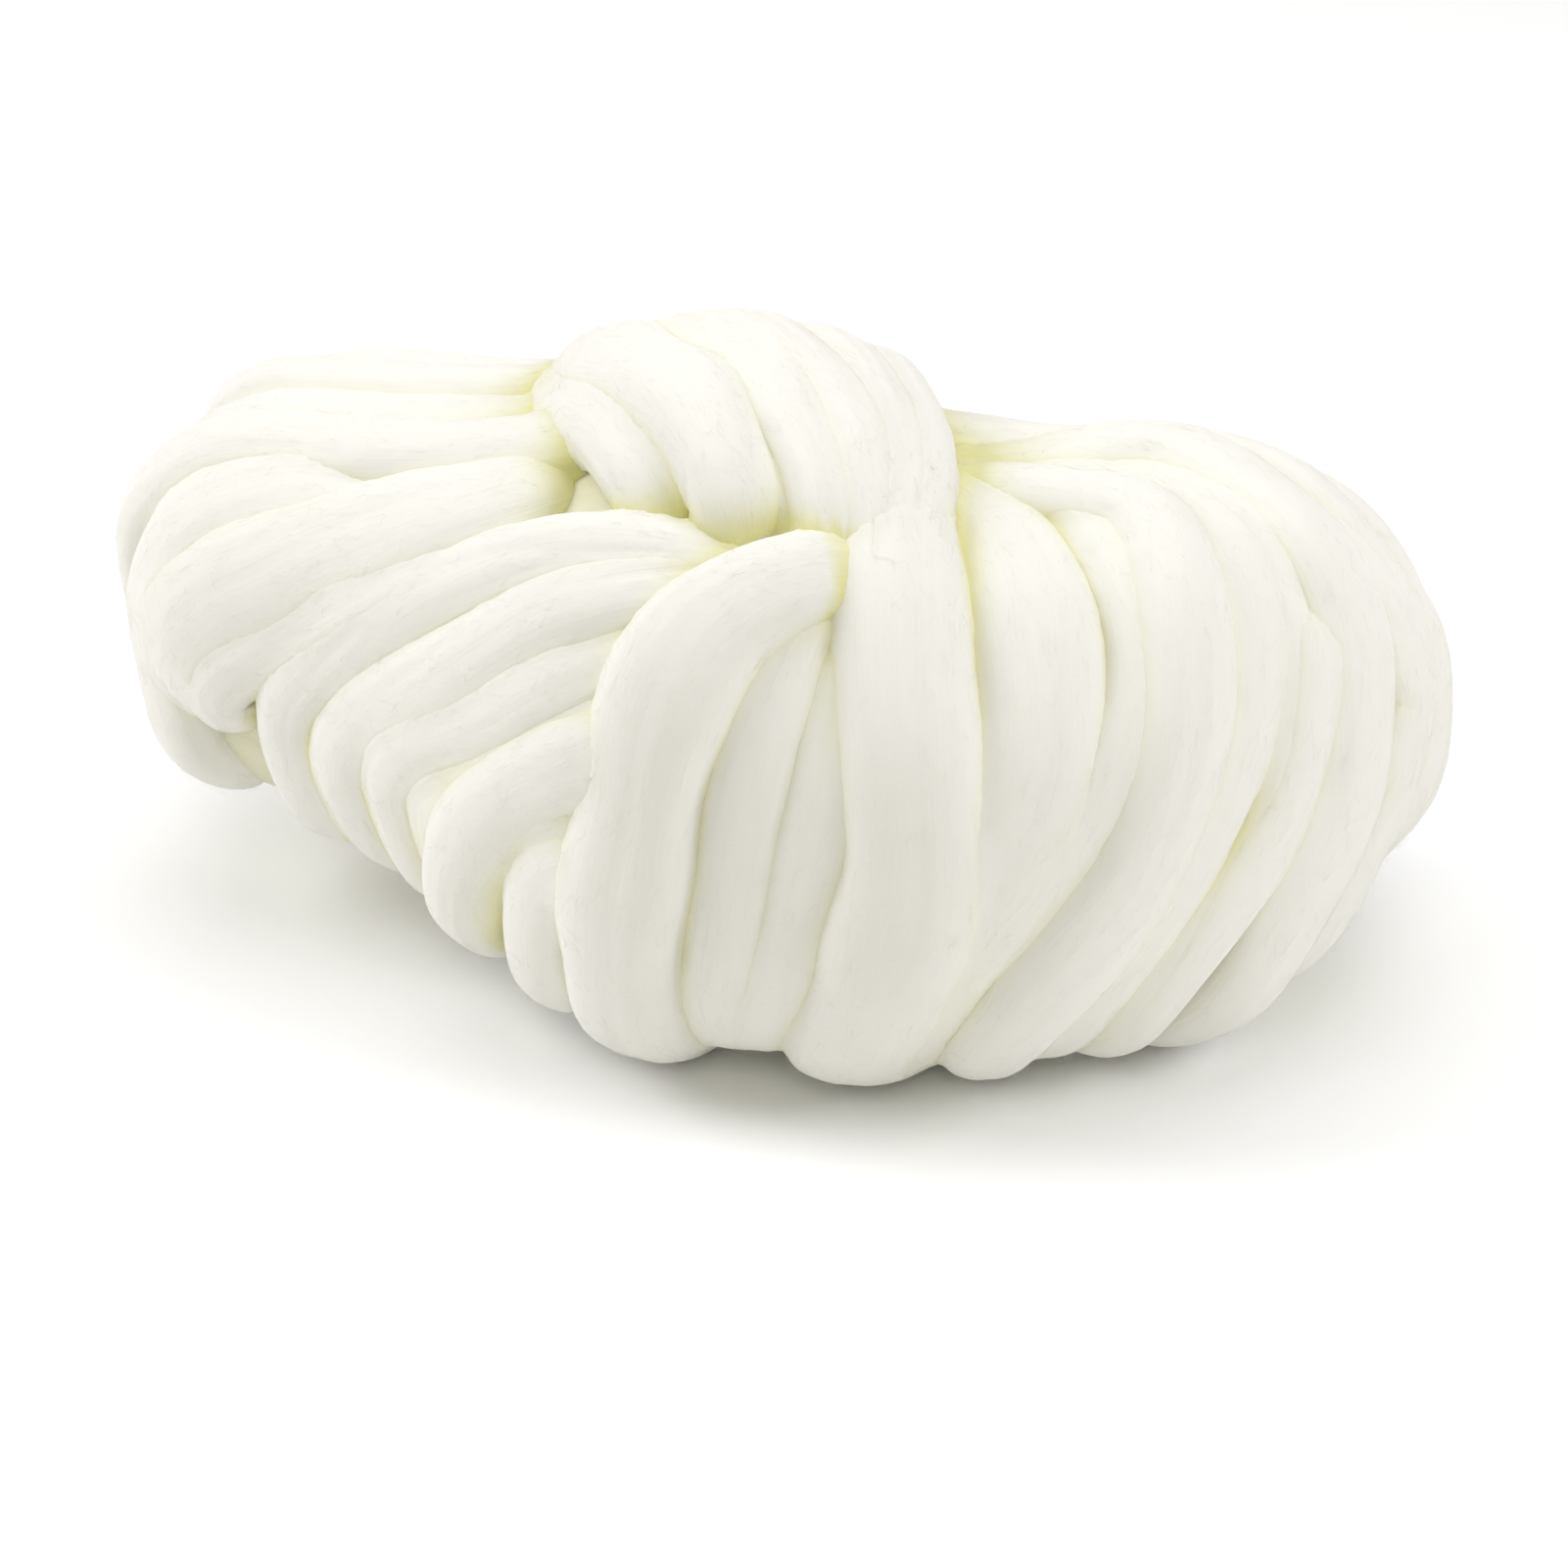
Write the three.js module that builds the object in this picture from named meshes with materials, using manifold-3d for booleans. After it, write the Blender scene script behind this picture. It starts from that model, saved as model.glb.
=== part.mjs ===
// A hank of chunky roving: one soft, untwisted length about 20 mm thick, wound to and fro and folded over
// itself at the middle, so that a full lobe lies on the right and a slim bundle on the left.
// Millimetres, +Z up. The hank lies along X with its front towards -Y, resting on the plane z = 0, and the
// origin is the middle of its base.
import * as THREE from "three";
import { mergeVertices } from "three/addons/utils/BufferGeometryUtils.js";
import Module from "manifold-3d";

const wasm = await Module();
wasm.setup();

// Driving dimensions of the roving and of the wound form.
const FLATTEN = 0.82; // height of a pressed turn over its width
const THICKEST = 18; // no turn stands higher than this, however wide it spreads
const PRESS = 1.8; // how far the hank's weight flattens it where it rests
const LEFT_TIP = -158; // x of the form's left and right tips, and the length over which each one rounds off
const RIGHT_TIP = 130;
const LEFT_ROUND = 30;
const RIGHT_ROUND = 62;
const ROUND_POWER = 2.2;
const UPPER_POWER = 2.3; // how square the form's section is, above and below its middle
const LOWER_POWER = 3.3;
const CORE_LIFT = -1.5; // the inner winding lies inside the form by this much
const CORE_BULGE = 11.5; // and comes this much lower at the middle of the base, between these places
const CORE_BULGE_POWER = 8;
const REST = { left: -45, right: 75, fade: 35 };
const ROOT = 14; // each turn is rooted this far inside the form

// Fineness of the facets.
const RING_STEP = 14.5; // along a turn
const ARC_FROM = -5; // the round outer part of a turn's section, in degrees
const ARC_TO = 185;
const ARC_STEPS = 5;
const CORE_STEPS = 22;
const CORE_SIDES = 28;
const TOLERANCE = 0.05; // facets finer than this are merged where turns meet
const CORE_INSET = 4; // the inner winding ends this far short of the tips

// A turn's section and ends.
const ROOT_WIDTH = 0.7; // of the root over the turn
const ROOT_LEAST = 0.8; // the root is at least this share of the turn's half height
const TAPER = 0.3; // the share of a turn's length over which its head or tail narrows
const CAP_RING = 0.6; // of half a width, where a rounded end has its second ring
const CAP_LEAST = 0.1;
const HEART = { left: -110, right: 80 }; // the form's outward side is away from the line between these

// Rows under named columns. The rest column, where there is one, takes all that is left of its row.
function table(columns, rows, rest) {
  return rows.map((row) => {
    const entry = Object.fromEntries(columns.map((column, i) => [column, row[i]]));
    if (rest) entry[rest] = row.slice(columns.length);
    return entry;
  });
}

// The wound form, a row for each cross section: its middle, then how far it reaches to each side.
const FORM = table(["x", "y", "z", "front", "back", "up", "down"], [
  [-160, 26, 74, 33, 38, 28, 42],
  [-125, 22, 71, 42, 48, 38, 43],
  [-90, 12, 67, 47, 54, 46, 40],
  [-60, 4, 63, 60, 62, 57, 48],
  [-30, 0, 60, 71, 68, 73, 51],
  [0, -2, 60, 74, 70, 72, 51],
  [30, 0, 60, 74, 68, 60, 51],
  [70, 8, 60, 69, 64, 57, 50],
  [105, 19, 60, 59, 57, 57, 52],
  [135, 30, 60, 46, 48, 51, 50],
]);

// Angles go round the form: 0 in front, 90 on top, 180 behind and 270 below. A turn's lift is the height of
// its middle line over the form, and its head and tail are the share of its width left at its two ends.

// Turns over the right lobe, from the pinch on top down the front: the x of each at these angles.
const LOBE_ANGLES = [78, 55, 30, 5, -20, -45];
const LOBE = table(["name", "width", "lift", "ridge", "head"], [
  ["D", 29, 1.5, 84, 0.7, 21.5, 26.5, 33, 36.5, 30.5, 21],
  ["E", 28, -1.0, 78, 0.75, 39, 52.5, 56, 44, 33, 27],
  ["F", 15, 0.0, 81, 0.9, 59, 71, 74, 61, 44.5, 33],
  ["G", 22, 1.0, 85, 0.75, 70, 80.5, 84.5, 77.5, 62.5, 49.5],
  ["H", 17, -1.0, 93, 0.9, 83.5, 94, 97, 88.5, 75.5, 62],
  ["I", 19, -2.5, 100, 0.9, 91, 101.5, 105, 102, 89, 75],
  ["J", 25, 1.0, 108, 0.9, 103, 112.5, 115.5, 115, 107.5, 94.5],
  ["K", 19, 0.0, 118, 0.9, 114.5, 123.5, 126, 125.5, 121, 108],
], "xs");
const PINCH = { x: 20, angle: 92, sink: 12 };
const RISE = { clear: 8, share: 0.25, sink: 3 }; // a turn that starts clear of the pinch rises out of it
const RIDGE = { clear: 30, share: 0.6 }; // and one that starts far from it runs along the ridge first
const FOOT = { x: 44, under: -72, underShare: 0.45, below: -88, belowShare: 0.8, sink: 3 };

// Turns over the crown of the fold, from behind to the pinch in front: the x of each at these angles.
const CROWN_ANGLES = [254, 225, 190, 150, 118, 96, 80, 66, 55];
const CROWN_SINK = [7, 4, 3, 1, 0, 0, 0, 2, 9];
const CROWN_FLAT_BACK = 4; // the first angles, at which the turns lie level with the rest of the back
const CROWN_TAIL = 0.7;
const CROWN = table(["name", "width", "lift"], [
  ["t0b", 12, -1.0, -70, -76, -80, -70, -56, -45.5, -35.5, -26, -18.5],
  ["t0", 23.5, 2.5, -70, -78, -82, -76, -61, -51, -41, -32, -24.5],
  ["t1", 25.5, 7.0, -56, -62, -68, -63, -51, -40, -25, -12, -4],
  ["t1b", 13, 2.0, -50, -55, -60, -51, -35.5, -18, -7.5, 1.5, 7],
  ["t2", 18, 7.0, -42, -48, -53, -49, -34.5, -16.5, -4, 6.5, 12.5],
  ["t3", 17, 7.0, -30, -35, -39, -36, -22, -5.5, 7.5, 15.5, 20],
  ["t4", 16, 6.5, -20, -24, -27, -22, -8, 8.5, 16.5, 21, 24],
  ["t5", 15, 6.0, -10, -14, -15, -9, 5, 18.5, 24.5, 27, 28.5],
], "xs");

// Turns lapped over the middle of the front, from under D's head to their feet: x and angle of each point.
const LAP_SINK = 12;
const LAP_HEAD = 0.6;
const LAP_FOOT = { under: -68, underX: 8, below: -86, belowX: 16, sink: 3 };
const LAP = table(["name", "width", "lift"], [
  ["A", 27.5, 2.0, [27, 55], [11, 53], [-6, 42], [-17, 24], [-22.5, 2], [-24, -20], [-24, -42]],
  ["B", 17, -2.0, [22, 60], [14, 53], [8.5, 39], [4, 20], [1.5, 3], [-1, -16], [-5, -43]],
  ["C", 16, -1.5, [25, 56], [21, 46], [18, 30], [16.5, 14.5], [13.5, -4], [9, -20], [2, -43]],
], "points");

// Turns that fan out to the left from the fold: pinch, shoulder, elbow, hip and foot of each.
const FAN_HEAD = 0.6;
const FAN_START = { before: 12, sink: 13, rise: 4 };
const FAN_TIP = { x: 3, angle: -14, sink: 6 }; // the first one ends in a round tip, the others go under
const FAN_FOOT = { turn: 34, lowest: -72, share: 0.95, sink: 1.5 };
const FAN_BELOW = { angle: -84, share: 0.86, sink: 6 };
const FAN = table(["name", "width", "lift"], [
  ["s1", 17, 1.5, [-58, 50], [-85, 37], [-103, 24], [-118, 9], [-129, -8]],
  ["s2", 18.5, 0.5, [-9, 52.5], [-38, 50.5], [-68, 43], [-96, 18], [-110, -8]],
  ["s3", 20, 0.0, [-9, 48], [-34.5, 41.5], [-62, 29], [-86, 7], [-95.5, -15]],
  ["s4", 17.5, 0.0, [-6, 41], [-36, 30], [-55, 20.5], [-72, 8], [-83, -12]],
  ["s5", 16, -1.0, [-8, 35], [-29, 25], [-48, 15.5], [-62, 3], [-71, -10]],
  ["s6", 20, 1.5, [-5, 28.5], [-30, 18.5], [-48, 7], [-61.5, -12], [-65, -32]],
  ["s7", 16, -0.5, [-10, 20], [-33, 10], [-45, 0], [-54, -14], [-59, -30]],
  ["s8", 19, 0.5, [-15, 8], [-31, 0], [-39.5, -9], [-44, -22], [-45, -42]],
], "points");

// The long turns sink a little at both ends.
const ENDS_SINK = 6;

// Turns along the left bundle and round its end, to the underside.
const BUNDLE = table(["name", "width", "lift"], [
  ["b5", 26, -0.5, [-85, 62], [-108, 60], [-126, 53], [-139, 42],
    [-146, 20], [-148, -8], [-142, -40], [-129, -66]],
  ["b4", 28, 1.0, [-48, 71], [-67, 61], [-84, 52], [-101, 43],
    [-114, 34], [-127, 24], [-138, 2], [-136, -26]],
  ["b3", 20, 2.5, [-42, 81], [-77, 78.5], [-109, 75], [-130, 73],
    [-146, 70], [-155, 60], [-155, 262], [-145, 262]],
  ["b2", 21, 0.5, [-45, 96], [-80, 94], [-115, 91], [-135, 90],
    [-149, 94], [-157, 180], [-152, 245], [-130, 262]],
  ["b1", 22, 4.0, [-45, 112], [-85, 109], [-118, 108], [-136, 116],
    [-147, 142], [-150, 180], [-145, 222], [-122, 250]],
  ["b0", 22, 6.0, [-50, 127], [-90, 125], [-116, 128], [-131, 148],
    [-139, 180], [-135, 215], [-120, 240], [-98, 252]],
  ["b6", 21, 3.0, [-60, 150], [-92, 150], [-112, 156], [-125, 176],
    [-124, 205], [-111, 232], [-92, 246], [-70, 256]],
  ["b7", 20, 0.0, [-60, 172], [-88, 174], [-104, 184], [-110, 202],
    [-103, 226], [-88, 242], [-70, 252], [-50, 256]],
  ["b8", 19, 0.0, [-62, 196], [-80, 199], [-90, 210], [-89, 226],
    [-79, 240], [-65, 250], [-50, 256], [-38, 258]],
], "points");

// One short turn that comes up between two on the front of the lobe, then the turns along the back of the
// lobe and round its right end, to the underside.
const BACK = table(["name", "width", "lift"], [
  ["i2", 15, 1.0, [103.5, 58], [106.5, 47], [107, 32], [103.5, 6],
    [90.5, -20], [76, -45], [62, -70], [52, -88]],
  ["k1", 20, -0.5, [8, 108], [42, 119], [78, 119], [101, 110], [117, 88], [125, 50], [124, 5], [112, -50]],
  ["k2", 20, 0.0, [-2, 122], [38, 132], [78, 134], [104, 129],
    [120, 112], [128, 60], [126.5, -12], [114, -58]],
  ["k3", 20, 0.5, [-14, 138], [33, 146], [78, 150], [104, 150],
    [119, 146], [129, 110], [128.5, -45], [114, -74]],
  ["l", 20, 0.0, [-18, 155], [33, 161], [78, 166], [104, 170],
    [118, 178], [127, 215], [125, 268], [108, 274]],
  ["m", 20, 0.5, [-20, 172], [33, 177], [74, 184], [98, 192],
    [112, 208], [116, 236], [106, 258], [88, 268]],
  ["n", 20, 0.0, [-20, 189], [30, 194], [64, 202], [86, 213], [96, 231], [91, 250], [76, 262], [60, 268]],
  ["o", 20, 0.0, [-20, 206], [26, 211], [52, 220], [68, 233], [71, 246], [63, 257], [50, 264], [36, 268]],
  ["p", 19, 0.0, [-20, 223], [18, 228], [36, 237], [45, 248], [41, 257], [30, 263], [18, 267], [6, 268]],
], "points");

// A column of the form at x, on a smooth curve through its rows.
function formColumn(column, x) {
  const last = FORM.length - 1;
  const at = THREE.MathUtils.clamp(x, FORM[0].x, FORM[last].x);
  const i = Math.min(FORM.findLastIndex((row) => row.x <= at), last - 1);
  const [a, b] = [FORM[i], FORM[i + 1]];
  const h = b.x - a.x;
  const t = (at - a.x) / h;
  return (
    (2 * t ** 3 - 3 * t ** 2 + 1) * a[column] +
    (t ** 3 - 2 * t ** 2 + t) * h * formSlope(column, i) +
    (-2 * t ** 3 + 3 * t ** 2) * b[column] +
    (t ** 3 - t ** 2) * h * formSlope(column, i + 1)
  );
}

// The slope of a column at a row, from the rows beside it.
function formSlope(column, i) {
  const before = FORM[Math.max(i - 1, 0)];
  const row = FORM[i];
  const after = FORM[Math.min(i + 1, FORM.length - 1)];
  const step = (a, b) => (b[column] - a[column]) / (b.x - a.x);
  if (before === row) return step(row, after);
  if (after === row) return step(before, row);
  const [h, k] = [row.x - before.x, after.x - row.x];
  return (k * step(before, row) + h * step(row, after)) / (h + k);
}

// The point of the form at x and an angle, moved out by a lift.
function onForm(x, degrees, lift = 0) {
  const inEnd = Math.max(1 - (x - LEFT_TIP) / LEFT_ROUND, 1 - (RIGHT_TIP - x) / RIGHT_ROUND);
  const rounding = Math.sqrt(1 - THREE.MathUtils.clamp(inEnd, 0, 1) ** ROUND_POWER);
  const angle = THREE.MathUtils.degToRad(degrees);
  const [c, s] = [Math.cos(angle), Math.sin(angle)];
  const power = s < 0 ? LOWER_POWER : UPPER_POWER;
  const square = (Math.abs(c) ** power + Math.abs(s) ** power) ** (-1 / power);
  const across = formColumn(c > 0 ? "front" : "back", x) * rounding;
  const upright = formColumn(s > 0 ? "up" : "down", x) * rounding;
  const y = formColumn("y", x) - (across * square + lift) * c;
  const z = formColumn("z", x) + (upright * square + lift) * s;
  return new THREE.Vector3(x, y, z);
}

// The form's outward direction at x and an angle.
function formNormal(x, degrees) {
  const step = 0.4;
  const low = Math.max(x - step, LEFT_TIP);
  const high = Math.min(x + step, RIGHT_TIP);
  const along = onForm(high, degrees).sub(onForm(low, degrees));
  const round = onForm(x, degrees + step).sub(onForm(x, degrees - step));
  const normal = along.cross(round).normalize();
  const nearest = THREE.MathUtils.clamp(x, HEART.left, HEART.right);
  const heart = new THREE.Vector3(nearest, formColumn("y", x), formColumn("z", x));
  return onForm(x, degrees).sub(heart).dot(normal) < 0 ? normal.negate() : normal;
}

// A turn's stations are [x, angle, extra lift].
function lobeTurn({ width, lift, ridge, head, xs }) {
  const past = xs[0] - PINCH.x;
  const start = [[PINCH.x, PINCH.angle, -PINCH.sink]];
  if (past > RISE.clear) start.push([PINCH.x + RISE.share * past, (ridge + PINCH.angle) / 2, -RISE.sink]);
  if (past > RIDGE.clear) start.push([PINCH.x + RIDGE.share * past, ridge, 0]);
  const front = xs.map((x, i) => [x, LOBE_ANGLES[i], 0]);
  const towards = (share) => xs.at(-1) + share * (FOOT.x - xs.at(-1));
  const end = [
    [towards(FOOT.underShare), FOOT.under, 0],
    [towards(FOOT.belowShare), FOOT.below, -FOOT.sink],
  ];
  return { width, lift, head, tail: 1, stations: [...start, ...front, ...end] };
}

function crownTurn({ width, lift, xs }) {
  const raise = (i) => (i < CROWN_FLAT_BACK ? -lift : 0) - CROWN_SINK[i];
  const stations = xs.map((x, i) => [x, CROWN_ANGLES[i], raise(i)]);
  return { width, lift, head: 1, tail: CROWN_TAIL, stations };
}

function lapTurn({ width, lift, points }) {
  const foot = points.at(-1)[0];
  const front = points.map(([x, angle], i) => [x, angle, i ? 0 : -LAP_SINK]);
  const end = [
    [foot + LAP_FOOT.underX, LAP_FOOT.under, 0],
    [foot + LAP_FOOT.belowX, LAP_FOOT.below, -LAP_FOOT.sink],
  ];
  return { width, lift, head: LAP_HEAD, tail: 1, stations: [...front, ...end] };
}

function fanTurn({ width, lift, points }, place) {
  const [x, angle] = points[0];
  const [footX, footAngle] = points.at(-1);
  const start = [[x + FAN_START.before, angle, -FAN_START.sink], [x, angle, -FAN_START.rise]];
  const front = points.slice(1).map((point) => [...point, 0]);
  const under = Math.max(footAngle - FAN_FOOT.turn, FAN_FOOT.lowest);
  const tip = [[footX + FAN_TIP.x, footAngle + FAN_TIP.angle, -FAN_TIP.sink]];
  const below = [
    [footX * FAN_FOOT.share, under, -FAN_FOOT.sink],
    [footX * FAN_BELOW.share, FAN_BELOW.angle, -FAN_BELOW.sink],
  ];
  return { width, lift, head: FAN_HEAD, tail: 1, stations: [...start, ...front, ...(place ? below : tip)] };
}

function longTurn({ width, lift, points }) {
  const sink = (i) => (i === 0 || i === points.length - 1 ? -ENDS_SINK : 0);
  return { width, lift, head: 1, tail: 1, stations: points.map((point, i) => [...point, sink(i)]) };
}

// A closed mesh from rings of points, with a fan over each end.
function ringSolid(rings) {
  const sides = rings[0].length;
  const triangles = [];
  const quad = (a, b, c, d) => triangles.push(a, b, c, a, c, d);
  for (let i = 0; i < rings.length - 1; i++) {
    for (let j = 0; j < sides; j++) {
      const k = (j + 1) % sides;
      quad(rings[i][j], rings[i + 1][j], rings[i + 1][k], rings[i][k]);
    }
  }
  const [first, last] = [rings[0], rings.at(-1)];
  const middle = (ring) => ring.reduce((sum, p) => sum.add(p), new THREE.Vector3()).divideScalar(sides);
  const [start, end] = [middle(first), middle(last)];
  for (let j = 0; j < sides; j++) {
    const k = (j + 1) % sides;
    triangles.push(start, first[j], first[k]);
    triangles.push(end, last[k], last[j]);
  }
  return solidFrom(new THREE.BufferGeometry().setFromPoints(triangles));
}

// A geometry as a solid that can be joined and cut.
function solidFrom(geometry) {
  const bare = geometry.clone();
  bare.deleteAttribute("normal");
  bare.deleteAttribute("uv");
  const merged = mergeVertices(bare, 1e-4);
  const vertProperties = new Float32Array(merged.getAttribute("position").array);
  const triVerts = new Uint32Array(merged.getIndex().array);
  return new wasm.Manifold(new wasm.Mesh({ numProp: 3, vertProperties, triVerts, tolerance: TOLERANCE }));
}

// Where a turn's rings stand along it: close at its rounded ends, then evenly.
function ringPlaces(length, halfWidth) {
  const round = [0, CAP_RING * halfWidth];
  const rest = length - 2 * round[1];
  const steps = Math.max(1, Math.round(rest / RING_STEP));
  const even = Array.from({ length: steps - 1 }, (_, i) => round[1] + ((i + 1) * rest) / steps);
  return [...round, ...even, ...round.map((place) => length - place).reverse()];
}

// A turn as a solid: a rounded back over a root that reaches into the form.
function turnSolid({ width, lift, head, tail, stations }) {
  const normals = stations.map(([x, angle]) => formNormal(x, angle));
  const raised = ([x, angle, extra], i) => onForm(x, angle).addScaledVector(normals[i], lift + extra);
  const middles = stations.map(raised);
  const path = new THREE.CatmullRomCurve3(middles);
  const lean = new THREE.CatmullRomCurve3(normals);
  const lifts = stations.map(([, , extra]) => new THREE.Vector3(lift + extra, 0, 0));
  const depth = new THREE.CatmullRomCurve3(lifts);
  const height = Math.min(width * FLATTEN, THICKEST);
  const length = path.getLength();
  const rings = ringPlaces(length, width / 2).map((place) => {
    const t = path.getUtoTmapping(0, place);
    const middle = path.getPoint(t);
    const along = path.getTangent(t);
    const up = lean.getPoint(t).projectOnPlane(along).normalize();
    const side = along.clone().cross(up);
    const share = place / length;
    const taper =
      (head + (1 - head) * THREE.MathUtils.smoothstep(share, 0, TAPER)) *
      (tail + (1 - tail) * THREE.MathUtils.smoothstep(1 - share, 0, TAPER));
    const inCap = 1 - Math.min(1, Math.min(place, length - place) / (width / 2));
    const size = (taper * Math.sqrt(Math.max(1 - inCap ** 2, CAP_LEAST))) / 2;
    const point = (across, high) =>
      middle.clone().addScaledVector(side, across * width * size).addScaledVector(up, high * height * size);
    const ring = Array.from({ length: ARC_STEPS + 1 }, (_, i) => {
      const angle = THREE.MathUtils.degToRad(ARC_FROM + ((ARC_TO - ARC_FROM) * i) / ARC_STEPS);
      return point(Math.cos(angle), Math.sin(angle));
    });
    const root = Math.max((ROOT + depth.getPoint(t).x) / (height * size), ROOT_LEAST);
    ring.push(point(-ROOT_WIDTH, -root), point(ROOT_WIDTH, -root));
    return ring;
  });
  return ringSolid(rings);
}

// The inner winding, which the turns lie on and which closes the grooves between them.
function coreSolid() {
  const from = LEFT_TIP + CORE_INSET;
  const to = RIGHT_TIP - CORE_INSET;
  const rings = Array.from({ length: CORE_STEPS + 1 }, (_, i) => {
    const x = (from + to) / 2 - (Math.cos((Math.PI * i) / CORE_STEPS) * (to - from)) / 2;
    const past = Math.max(REST.left - x, x - REST.right, 0);
    const bulge = CORE_BULGE * (1 - THREE.MathUtils.smoothstep(past, 0, REST.fade));
    return Array.from({ length: CORE_SIDES }, (_, j) => {
      const degrees = (360 * j) / CORE_SIDES;
      const below = Math.max(0, -Math.sin(THREE.MathUtils.degToRad(degrees)));
      return onForm(x, degrees, CORE_LIFT + bulge * below ** CORE_BULGE_POWER);
    });
  });
  return ringSolid(rings);
}

// What lies below the resting plane, as a block to cut away.
function belowRest({ min, max }) {
  const margin = 20;
  const size = new THREE.Vector3(...max).sub(new THREE.Vector3(...min)).addScalar(2 * margin);
  const block = new THREE.BoxGeometry(size.x, size.y, size.z);
  block.translate((min[0] + max[0]) / 2, (min[1] + max[1]) / 2, PRESS - size.z / 2);
  return solidFrom(block);
}

// The largest shell of a joined solid, as a geometry: small pockets left between turns are filled.
function outerSkin(solid) {
  const { vertProperties, triVerts, numProp } = solid.getMesh();
  const parent = Array.from({ length: vertProperties.length / numProp }, (_, i) => i);
  const rootOf = (i) => {
    while (parent[i] !== i) i = parent[i] = parent[parent[i]];
    return i;
  };
  const corners = (f) => [triVerts[3 * f], triVerts[3 * f + 1], triVerts[3 * f + 2]];
  const faces = Array.from({ length: triVerts.length / 3 }, (_, f) => f);
  for (const f of faces) {
    const [a, b, c] = corners(f);
    parent[rootOf(b)] = rootOf(a);
    parent[rootOf(c)] = rootOf(a);
  }
  const shells = Object.values(Object.groupBy(faces, (f) => rootOf(corners(f)[0])));
  const largest = shells.reduce((a, b) => (b.length > a.length ? b : a));
  const geometry = new THREE.BufferGeometry();
  geometry.setAttribute("position", new THREE.BufferAttribute(new Float32Array(vertProperties), numProp));
  geometry.setIndex(largest.flatMap(corners));
  return geometry;
}

const turns = [
  ...LOBE.map(lobeTurn),
  ...CROWN.map(crownTurn),
  ...LAP.map(lapTurn),
  ...FAN.map(fanTurn),
  ...BUNDLE.map(longTurn),
  ...BACK.map(longTurn),
];
const wound = turns.map(turnSolid).reduce((all, turn) => all.add(turn), coreSolid());
const rested = wound.subtract(belowRest(wound.boundingBox()));
const geometry = outerSkin(rested);
geometry.computeBoundingBox();
const middle = geometry.boundingBox.getCenter(new THREE.Vector3());
geometry.translate(-middle.x, -middle.y, -PRESS);

const wool = new THREE.MeshStandardMaterial({
  color: "#f0eee2",
  roughness: 0.95,
  metalness: 0,
  flatShading: true,
});
const hank = new THREE.Mesh(geometry, wool);
hank.name = "hank";

const group = new THREE.Group();
group.add(hank);

export default group;
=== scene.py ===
"""Looks of a hank of chunky roving yarn.

The hank is one soft, untwisted length about 20 mm thick, wound to and fro and folded over itself at its
middle. A full lobe lies on the right, a slim bundle on the left, and a fan of turns runs between them in
front. Its tables are in millimetres, in the drawing's own frame, and the meshes in metres, in the frame of
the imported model.
"""
import logging
import math
from abc import ABC, abstractmethod
from dataclasses import dataclass, replace
from enum import Enum

import bpy
import numpy as np
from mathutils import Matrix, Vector


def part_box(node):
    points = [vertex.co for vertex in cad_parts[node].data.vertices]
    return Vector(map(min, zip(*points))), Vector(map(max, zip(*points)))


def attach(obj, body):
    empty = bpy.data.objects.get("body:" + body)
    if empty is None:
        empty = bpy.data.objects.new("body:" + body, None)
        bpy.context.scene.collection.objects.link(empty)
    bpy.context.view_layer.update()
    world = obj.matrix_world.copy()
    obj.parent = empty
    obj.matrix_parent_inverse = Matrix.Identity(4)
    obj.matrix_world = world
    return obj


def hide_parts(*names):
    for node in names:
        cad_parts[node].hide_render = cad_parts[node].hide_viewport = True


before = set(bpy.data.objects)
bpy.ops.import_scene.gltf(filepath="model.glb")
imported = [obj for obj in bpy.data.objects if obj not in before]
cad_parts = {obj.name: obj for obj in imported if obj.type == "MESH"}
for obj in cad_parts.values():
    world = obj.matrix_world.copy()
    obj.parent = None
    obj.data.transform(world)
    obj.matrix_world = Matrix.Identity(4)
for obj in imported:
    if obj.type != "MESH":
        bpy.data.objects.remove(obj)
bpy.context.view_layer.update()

LOG = logging.getLogger("hank")

MM = 0.001  # metres in a millimetre
TINY = 1e-6  # keeps a point on a middle line from a division by zero
NODE = "hank"
IMAGE_PIXELS = 1601

Pair = tuple[float, float]  # a range, or a place along the hank and an angle round it
Triple = tuple[float, float, float]  # a point, a colour, or a place, an angle and a height
Inputs = dict[str | int, bpy.types.NodeSocket | float | tuple]  # what goes into a node


class Region(Enum):
    """The parts of the hank, by the way their turns run."""

    LOBE = "lobe"
    CROWN = "crown"
    LAP = "lap"
    FAN = "fan"
    BUNDLE = "bundle"
    BACK = "back"


def unit(vectors: np.ndarray) -> np.ndarray:
    """The same directions, with a length of one."""
    return vectors / np.linalg.norm(vectors, axis=-1, keepdims=True)


def squared(c: np.ndarray, s: np.ndarray, power: np.ndarray | float) -> np.ndarray:
    """The reach of a squared-off circle, by the cosine and sine of a direction. Power 2 is a true circle."""
    return (np.abs(c) ** power + np.abs(s) ** power) ** (-1 / power)


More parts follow.
